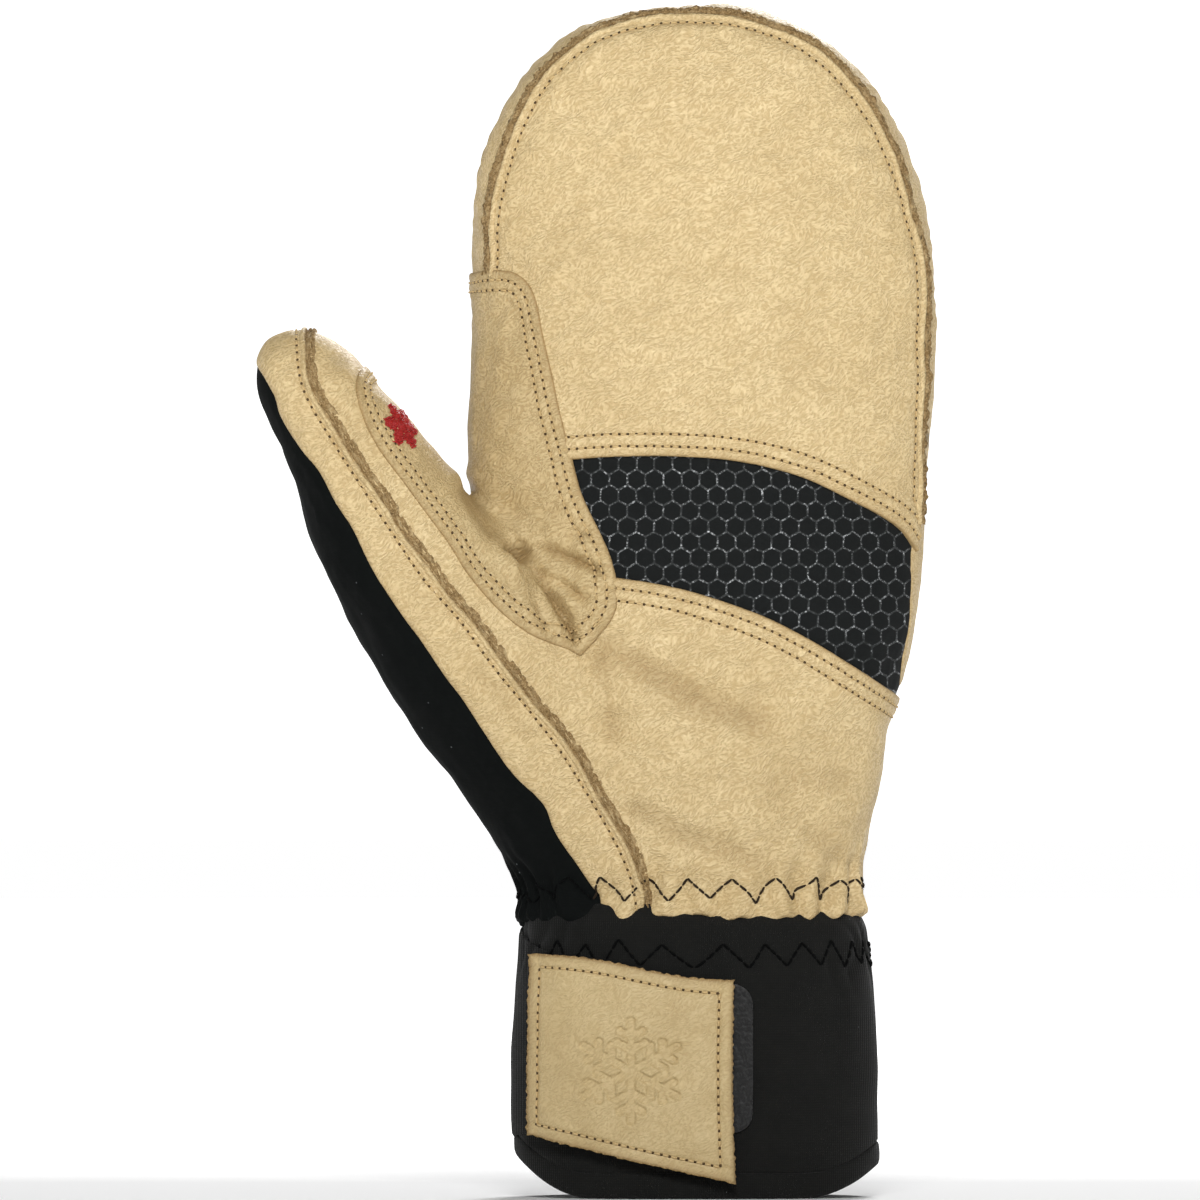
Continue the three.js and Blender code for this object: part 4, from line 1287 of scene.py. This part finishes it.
belongs(sleeve("cuff_neoprene", loop_profile(HEM_TALL, 73.5, 0.8, 0.0, CUFF_WALL), MATERIALS["cuff"], calm),
        "hand", "cuff_neoprene", "cuff_shell")
HEM_LOOP = [
    (HEM_TALL + 0.2, -0.5), (HEM_TALL, 0.0), (5.6, 0.25), (4.6, 0.4), (3.2, 0.45), (1.8, 0.4), (0.8, 0.1),
    (0.25, -0.5), (0.0, -1.2), (0.05, -3.0), (0.4, -4.2), (1.2, -5.0), (3, -5.3), (6, -5.3), (7.5, -5.0),
    (7.0, -4.6), (HEM_TALL, -3.4),
]
belongs(sleeve("cuff_hem_roll", HEM_LOOP, MATERIALS["cuff"], lambda heights: 0.4 + 0 * heights),
        "hand", "cuff_neoprene", "cuff_hem")
belongs(sleeve("cuff_fleece_lining", loop_profile(HEM_TALL + 1.4, 73.2, 1.2, -3.15, 1.5), MATERIALS["fleece"],
               lambda heights: 0.9 * calm(heights), steps=240),
        "hand", "fleece_lining", "cuff_fleece")


def zigzag(name, to_surface, low, high, thread, radius, span, seed):
    """Zigzag stitching round the wrist: each leg is three or four straight stitches that dip at their ends."""
    draw = np.random.default_rng(seed)
    turns = np.linspace(*span, 2 * round((span[1] - span[0]) / GATHER_PITCH) + 1)
    u = turns + draw.uniform(-0.5, 0.5, len(turns))
    z = np.where(np.arange(len(turns)) % 2, high, low) + draw.uniform(-0.8, 0.8, len(turns))
    if span[1] - span[0] > 1.99 * LAP:
        u[-1], z[-1] = u[0] + span[1] - span[0], z[0]
    paths = []
    for k in range(len(turns) - 1):
        legs = 3 + k % 2
        for leg in range(legs):
            t = (leg + np.array([0.04, 0.2, 0.5, 0.8, 0.96])) / legs
            where, up = to_surface(u[k] + (u[k + 1] - u[k]) * t, z[k] + (z[k + 1] - z[k]) * t)
            paths.append((where + up * np.array([-0.25, 0.12, 0.2, 0.12, -0.25])[:, None], up,
                          [0.7, 1, 1.1, 1, 0.7]))
    belongs(mesh_piece(name, *tubes(paths, radius), thread, crease=0), "hand", "leather_tan")


WRIST_SHEETS = [heel_sheet, thenar_sheet, back_hand_sheet, back_thumb_sheet]
wrist_points = np.vstack([sheet["outer"] for sheet in WRIST_SHEETS])
starts = np.cumsum([0, *(len(sheet["outer"]) for sheet in WRIST_SHEETS)])
wrist_tree = BVHTree.FromPolygons(
    wrist_points.tolist(), [t for sheet, start in zip(WRIST_SHEETS,
                                                      starts) for t in (sheet.triangles + start).tolist()])


def on_wrist(u, z):
    """The shell's outer surface at a distance round the wrist and a height."""
    where, up = [], []
    for a, h in zip(u / WRIST_RADIUS, z):
        way = Vector((math.sin(a) * WRIST_HALF[0], -math.cos(a) * WRIST_HALF[1], 0)).normalized()
        middle = Vector((*WRIST_MIDDLE, h))
        hit = wrist_tree.ray_cast(middle + way * 80, -way)
        where.append(hit[0] if hit[0] else middle + way * 30)
        up.append(hit[1] if hit[0] else way)
    return np.array(where), unit(np.array(up))


def on_cuff(u, z):
    a = u / WRIST_RADIUS - math.pi / 2
    plain = cuff_point(a, z, 0 * z)
    return cuff_point(a, z, cuff_relief(plain)), unit(cuff_point(a, z, 1 + 0 * z) - plain)


zigzag("zigzag_leather", on_wrist, 74.0, 79.6, MATERIALS["thread_brown"], 0.3, (-22, 57), 31)
zigzag("zigzag_back", on_wrist, 74.0, 79.6, MATERIALS["thread_black"], 0.3, (58, 2 * LAP - 22), 32)
zigzag("zigzag_cuff", on_cuff, CUFF_GATHER - 3.4, CUFF_GATHER + 3.0, MATERIALS["thread_black"], 0.32,
       (0, 2 * LAP), 33)


# ---------- closure strap, its patch and its pads ----------
def between_corners(corners, s, t):
    """Places in a four-sided outline: s goes from its left to its right, and t from its top to its bottom."""
    a, b, c, d = np.array(corners, float)
    s, t = s[..., None], t[..., None]
    return (1 - t) * (a + (b - a) * s) + t * (d + (c - d) * s)


def film(name, corners, out, wall, material, relief_of=None, size=(80, 80), bow=None, jag=0.0,
         at_angle=False, follow=0.0):
    """A thin layer round the cuff, between four corners given as (x, z) or (angle, z), clockwise from the upper
    left. bow moves it sideways, jag roughens its border, and follow is its share of the cuff's relief."""
    s, t = np.meshgrid(np.linspace(0, 1, size[0]), np.linspace(0, 1, size[1]), indexing="ij")
    a, b, _, d = np.array(corners, float)
    flat = between_corners(corners, s, t)
    if bow is not None:
        flat = flat + bow(s, t)
    if jag:
        near = np.minimum(np.minimum(s, 1 - s) * size[0], np.minimum(t, 1 - t) * size[1])
        rough = np.stack([flat[..., 0], 0 * s, flat[..., 1]], -1).reshape(-1, 3)
        shift = np.stack([waves(rough, 1.3, 41), waves(rough, 1.7, 42)], -1).reshape(*s.shape, 2)
        flat = flat + jag * shift * np.clip(1 - near / 2, 0, 1)[..., None]
    x, z = flat[..., 0], flat[..., 1]
    angle = x if at_angle else cuff_angle(x, z)
    base = out + follow * cuff_relief(cuff_point(angle, z, 0 * z).reshape(-1, 3)).reshape(s.shape)
    height = base + (relief_of(s, t, x, z) if relief_of else 0 * s)
    outer = cuff_point(angle, z, height).reshape(-1, 3)
    inner = cuff_point(angle, z, base - wall).reshape(-1, 3)
    numbers = np.arange(s.size).reshape(s.shape)
    quads = np.stack([numbers[:-1, :-1], numbers[:-1, 1:], numbers[1:, 1:], numbers[1:, :-1]], -1).reshape(-1,
                                                                                                           4)
    rim = np.concatenate([numbers[:, 0], numbers[-1, 1:], numbers[-2::-1, -1], numbers[0, -2:0:-1]])
    after = np.roll(rim, -1)
    walls = np.stack([rim, after, after + s.size, rim + s.size], 1)
    faces = np.vstack([quads, quads[:, ::-1] + s.size, walls])
    spans = np.linalg.norm(a - b), np.linalg.norm(a - d)
    edge = np.minimum(np.minimum(s, 1 - s) * spans[0], np.minimum(t, 1 - t) * spans[1]).ravel()
    raw = np.clip(1 - edge / 0.7, 0, 1)
    fields = {"edge": np.concatenate([edge, 0 * edge]), "raw": np.concatenate([raw, 1 + 0 * edge])}
    return mesh_piece(name, np.vstack([outer, inner]), faces, material, fields)


PATCH = [(-14.6, 61), (33.2, 54.6), (33.6, 3.9), (-15.0, 16.0)]
STAR_AT, STAR_ARM, STAR_LINE = (8.5, 32.0), 12.5, 1.0
PATCH_OUT, STRAP_OUT, HOOK_OUT, LOOP_OUT = 4.7, 3.45, 2.0, 1.15
PATCH_WIDE, PATCH_TALL = 48, 47
# How far the patch's stitching lies from its left, right, top and lower edges.
PATCH_ROWS = 2.2, 3.6, 3.2, 3.2


def snowflake_distance(x, z):
    """Distance from the lines of a plain six-armed snowflake at the origin, with arms of length 1."""
    around = np.mod(np.arctan2(x, z) + math.pi / 6, math.pi / 3) - math.pi / 6
    far = np.hypot(x, z)
    u, v = far * np.cos(around), np.abs(far * np.sin(around))
    arm = np.hypot(np.maximum(u - 1, 0) + np.maximum(-u, 0), v)
    for root, reach in ((0.42, 0.3), (0.68, 0.24)):
        du, dv = u - root, v
        along_branch = np.clip(du * 0.5 + dv * 0.866, 0, reach)
        arm = np.minimum(arm, np.hypot(du - 0.5 * along_branch, dv - 0.866 * along_branch))
    return arm


def patch_bow(s, t):
    """The patch's edges wander a little, and its right edge is a fold."""
    lift = 0.7 * np.sin(s * 2 * math.pi) * (1 - t) - 0.5 * np.sin(s * math.pi) * t
    push = -0.6 * np.sin(t * math.pi) * s
    return np.stack([push, lift], -1)


def patch_relief(s, t, x, z):
    sides = s * PATCH_WIDE, (1 - s) * PATCH_WIDE, t * PATCH_TALL, (1 - t) * PATCH_TALL
    edge, right = np.minimum.reduce(sides), sides[1]
    uneven = waves(np.stack([x, 0 * x, z], -1).reshape(-1, 3), 11, 44).reshape(x.shape)
    lift = 0.35 * smoothstep(0, 10, edge) + 0.12 * uneven
    lift = lift + 0.55 * bell(right - 1.6, 1.3) + rolled(right, 0.8, 0.9)
    for d, at in zip(sides, PATCH_ROWS):
        lift = lift - 0.3 * bell(d - at, 0.6)
    star = snowflake_distance((x - STAR_AT[0]) / STAR_ARM, (z - STAR_AT[1]) / STAR_ARM) * STAR_ARM
    return lift - 0.6 * smoothstep(STAR_LINE + 0.3, STAR_LINE - 0.3, star) + 0.12 * bell(star - STAR_LINE - 0.8,
                                                                                         0.5)


patch = film("patch_leather", PATCH, PATCH_OUT, 1.15, MATERIALS["leather_patch"], patch_relief, (220, 220),
             patch_bow, jag=0.1)
belongs(patch, "strap", "patch_leather", "strap_patch")


def patch_line(s0, t0, s1, t1, steps=60):
    s, t = np.linspace(s0, s1, steps), np.linspace(t0, t1, steps)
    x, z = (between_corners(PATCH, s, t) + patch_bow(s, t)).T
    angle = cuff_angle(x, z)
    base = cuff_point(angle, z, PATCH_OUT + patch_relief(s, t, x, z))
    return base, unit(cuff_point(angle, z, 1 + 0 * x) - cuff_point(angle, z, 0 * x))


S0, S1 = PATCH_ROWS[0] / PATCH_WIDE, 1 - PATCH_ROWS[1] / PATCH_WIDE
T0, T1 = PATCH_ROWS[2] / PATCH_TALL, 1 - PATCH_ROWS[3] / PATCH_TALL
patch_runs = [patch_line(*ends) for ends in ((S0, T0, S1, T0), (S1, T0, S1, T1), (S1, T1, S0, T1),
                                             (S0, T1, S0, T0))]
stitching("stitching_patch", patch_runs, MATERIALS["thread_tan"], "strap", "patch_leather")

strap = film("strap_webbing", [(-13.4, 59.6), (31.8, 53.4), (32.2, 5.6), (-13.8, 17.2)], STRAP_OUT, 1.15,
             MATERIALS["webbing"],
             lambda s, t, x, z: 0.1 * np.sin(z * 2 * math.pi / 1.6), (60, 120))
belongs(strap, "strap", "strap_webbing", "closure_strap")


def bristly(s, t, x, z):
    hooks = np.abs(np.sin(x * math.pi / 1.1) * np.sin(z * math.pi / 1.1)) ** 0.7
    return 0.28 * hooks + 0.05 * np.sin(x * 9) * np.sin(z * 8)


hook = film("hook_tape", [(3, 48), (30, 45), (30, 20), (3, 25)], HOOK_OUT, 0.7, MATERIALS["hook"], bristly,
            (130, 120))
belongs(hook, "strap", "hook_tape", "hook_pad")


def loop_bow(s, t):
    """Round outer corners."""
    corner = np.clip((s - 0.86) / 0.14, 0, 1)
    pinch = 5.0 * (1 - np.sqrt(np.maximum(1 - corner**2, 0)))
    return np.stack([0 * s, np.where(t < 0.5, -1, 1) * pinch * np.abs(1 - 2 * t)], -1)


def looped(s, t, x, z):
    p = np.stack([x, 0 * x, z], -1).reshape(-1, 3)
    pile = (0.14 * waves(p, 2.1, 51) + 0.09 * waves(p, 1.1, 52)).reshape(x.shape)
    return pile + rolled(np.minimum.reduce([1 - s, t, 1 - t]) * 36, 0.5, 1)


loop = film("loop_pad_pile", [(2, 54), (38, 53.5), (38, 16.5), (2, 17)], LOOP_OUT, 0.85, MATERIALS["loop"],
            looped, (150, 160), loop_bow)
belongs(loop, "hand", "loop_fabric", "loop_pad")

# The anchor wraps the thumb side of the cuff, from the strap's sewn end to the back, so it is drawn by angle.
ANCHOR_END = float(cuff_angle(np.array([-13.6]), np.array([40.0]))[0])
anchor = film("strap_anchor_rib", [(ANCHOR_END, 61.5), (-math.pi - 0.22, 68), (-math.pi - 0.22, 14.5),
                                   (ANCHOR_END, 16.5)], 0.85, 0.9,
              MATERIALS["rib"], lambda s, t, x,
              z: rolled(np.minimum(np.minimum(t, 1 - t) * 46, s * 20), 0.5, 1.4),
              (90, 90), at_angle=True, follow=0.85)
belongs(anchor, "hand", "cuff_neoprene", "strap_anchor")

# ---------- emblem ----------
low, high = (np.array(corner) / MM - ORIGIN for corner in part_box("thumb_emblem"))
saddle_tree = BVHTree.FromPolygons(saddle_sheets[1]["outer"].tolist(), saddle_sheets[1].triangles.tolist())
EMBLEM_ARM = 6.2
emblem_at, emblem_up, _, _ = saddle_tree.find_nearest(Vector((low + high) / 2))
emblem_side = emblem_up.cross(Vector(THUMB_UP)).normalized()
emblem_ahead = emblem_side.cross(emblem_up)


def on_saddle(u, v):
    where, up = [], []
    for a, b in zip(u, v):
        hit = saddle_tree.find_nearest(emblem_at + (emblem_side * a + emblem_ahead * b) * EMBLEM_ARM)
        where.append(hit[0])
        up.append(hit[1])
    return np.array(where), unit(np.array(up))


def satin_bar(start, end, width, paths, pitch=0.3):
    """Thread laid side by side across a bar."""
    start, end = np.array(start), np.array(end)
    way = (end - start) / np.linalg.norm(end - start)
    aside = np.array([-way[1], way[0]])
    steps = int(np.linalg.norm(end - start) * EMBLEM_ARM / pitch)
    for k in range(steps + 1):
        middle = start + (end - start) * k / max(steps, 1)
        across = np.linspace(-1, 1, 5)[:, None] * aside * width / 2 + way * 0.02 * (-1) ** k
        where, up = on_saddle(*(middle + across).T)
        paths.append((where + up * np.array([-0.1, 0.4, 0.55, 0.4, -0.1])[:, None], up, [0.8, 1, 1, 1, 0.8]))


emblem_paths = []
for arm in range(6):
    a = arm * math.pi / 3
    tip = np.array([math.sin(a), math.cos(a)])
    satin_bar(tip * 0.04, tip, 0.32, emblem_paths)
    for root, reach in ((0.4, 0.34), (0.68, 0.26)):
        for turn in (-math.pi / 3, math.pi / 3):
            branch = np.array([math.sin(a + turn), math.cos(a + turn)])
            satin_bar(tip * root, tip * root + branch * reach, 0.26, emblem_paths)
emblem = mesh_piece("emblem_snowflake_thread", *tubes(emblem_paths, 0.22), MATERIALS["thread_red"], crease=0)
belongs(emblem, "thumb_flex", "embroidery_red", "thumb_emblem")


# ---------- insulation, lining and wrist elastic ----------
INNER_STEP = 3.0
INNER_FOOT, ELASTIC_TOP = 76.0, 86.0


INNER = raised(*surface_net(LOW, HIGH, INNER_STEP))
INNER["above_elastic"] = INNER["drawn"][:, 2] - ELASTIC_TOP
INNER["above_foot"] = INNER["drawn"][:, 2] - INNER_FOOT
WADDING_UNDER, WADDING_THICK = -1.95, 3.3
LINING_UNDER, LINING_THICK = -5.6, 1.3
ELASTIC_UNDER, ELASTIC_THICK = -2.0, 1.2


def inner_piece(name, limits, base, thickness, material):
    return panel(name, cut(INNER, *limits), MATERIALS[material], base=base, thickness=thickness)


for part, side, mover, wadding_nodes, lining_nodes in [
    ("hand", "fold", "finger_flex",
     ("hand_insulation_palm", "hand_insulation_back", "finger_insulation_palm", "finger_insulation_back"),
     ("hand_lining", "finger_lining")),
    ("thumb", "-fold", "thumb_flex", ("thumb_insulation",), ("thumb_lining",)),
]:
    wadding = inner_piece(f"wadding_{part}", [(side, 0.2), ("above_elastic", 0.6)], WADDING_UNDER,
                          WADDING_THICK, "wadding")
    belongs(wadding, mover, "insulation", *wadding_nodes)
    lining = inner_piece(f"lining_{part}", [(side, 0.2), ("above_foot", 0)], LINING_UNDER, LINING_THICK,
                         "fleece")
    belongs(lining, mover, "fleece_lining", *lining_nodes)
elastic = inner_piece("wrist_elastic_tape", [("above_foot", 0), ("-above_elastic", 0)], ELASTIC_UNDER,
                      ELASTIC_THICK,
                      "elastic")
belongs(elastic, "hand", "elastic_tape", "wrist_elastic")


# ---------- camera, light and floor ----------
def light(name, where, size, energy):
    lamp = bpy.data.lights.new(name, "AREA")
    lamp.shape, lamp.size, lamp.energy = "DISK", size, energy
    lit = bpy.data.objects.new(name, lamp)
    lit.location = where
    lit.rotation_euler = (Vector((0, 0, 0.15)) - Vector(where)).to_track_quat("-Z", "Y").to_euler()
    lit.visible_camera = False
    bpy.context.scene.collection.objects.link(lit)


def stage_and_camera():
    # A round floor that sweeps up into a wall far away. Only its far part glows, so the light stays frontal.
    bend = np.linspace(0, math.pi / 2, 10)
    profile = [(0.001, 0), (0.5, 0), (1.2, 0), (3, 0), (9, 0), *zip(9 + 3 * np.sin(bend), 3 - 3 * np.cos(bend)),
               (12, 6)]
    around = np.linspace(0, 2 * math.pi, 96, endpoint=False)
    points = [(r * math.cos(a), r * math.sin(a), z) for r, z in profile for a in around]
    mesh = bpy.data.meshes.new("floor")
    mesh.from_pydata(points, [], tube_faces(len(profile), len(around)))
    mesh.shade_smooth()
    paper = Shader("pale_floor")
    where = paper.add("SeparateXYZ", Vector=paper.add("NewGeometry").outputs["Position"])
    away = paper.math("SQRT", paper.math("ADD", paper.math("POWER", where.outputs["X"], 2.0),
                                         paper.math("POWER", where.outputs["Y"], 2.0)))
    far = paper.ramp(paper.math("DIVIDE", away, 4.0), [(0.6, 0.0), (1.0, 1.0)])
    behind = paper.ramp(paper.math("ABSOLUTE", where.outputs["Y"]), [(0.15, 0.0), (0.7, 1.0)])
    low = paper.ramp(paper.math("DIVIDE", where.outputs["Z"], 3.0), [(0.25, 1.0), (0.5, 0.0)])
    glow = paper.math("MULTIPLY", paper.math("MAXIMUM", far, behind), low)
    mesh.materials.append(paper.finish(Base_Color=(0.9, 0.9, 0.9, 1), Roughness=0.9,
                                       Emission_Color=(1, 1, 1, 1),
                                       Emission_Strength=glow))
    floor = bpy.data.objects.new("floor", mesh)
    bpy.context.scene.collection.objects.link(floor)
    camera = bpy.data.cameras.new("camera")
    seen = bpy.data.objects.new("camera", camera)
    bpy.context.scene.collection.objects.link(seen)
    camera.sensor_width, camera.lens = 36, 36 * CAMERA_AWAY / FRAME_WIDTH
    seen.location = (ORIGIN[0] * MM, -CAMERA_AWAY, FRAME_MIDDLE)
    seen.rotation_euler = (math.pi / 2, 0, 0)
    bpy.context.scene.camera = seen
    world = bpy.data.worlds.new("studio")
    world.use_nodes = True
    world.node_tree.nodes["Background"].inputs["Color"].default_value = (1, 1, 1, 1)
    world.node_tree.nodes["Background"].inputs["Strength"].default_value = 0.1
    bpy.context.scene.world = world
    bpy.context.scene.view_settings.view_transform = "Standard"
    light("key", (0.0, -1.95, 1.1), 0.5, 26)
    light("back", (0.4, 1.8, 1.3), 0.8, 40)


CAMERA_AWAY, FRAME_WIDTH, FRAME_MIDDLE = 6.0, 0.3, 0.14925
stage_and_camera()
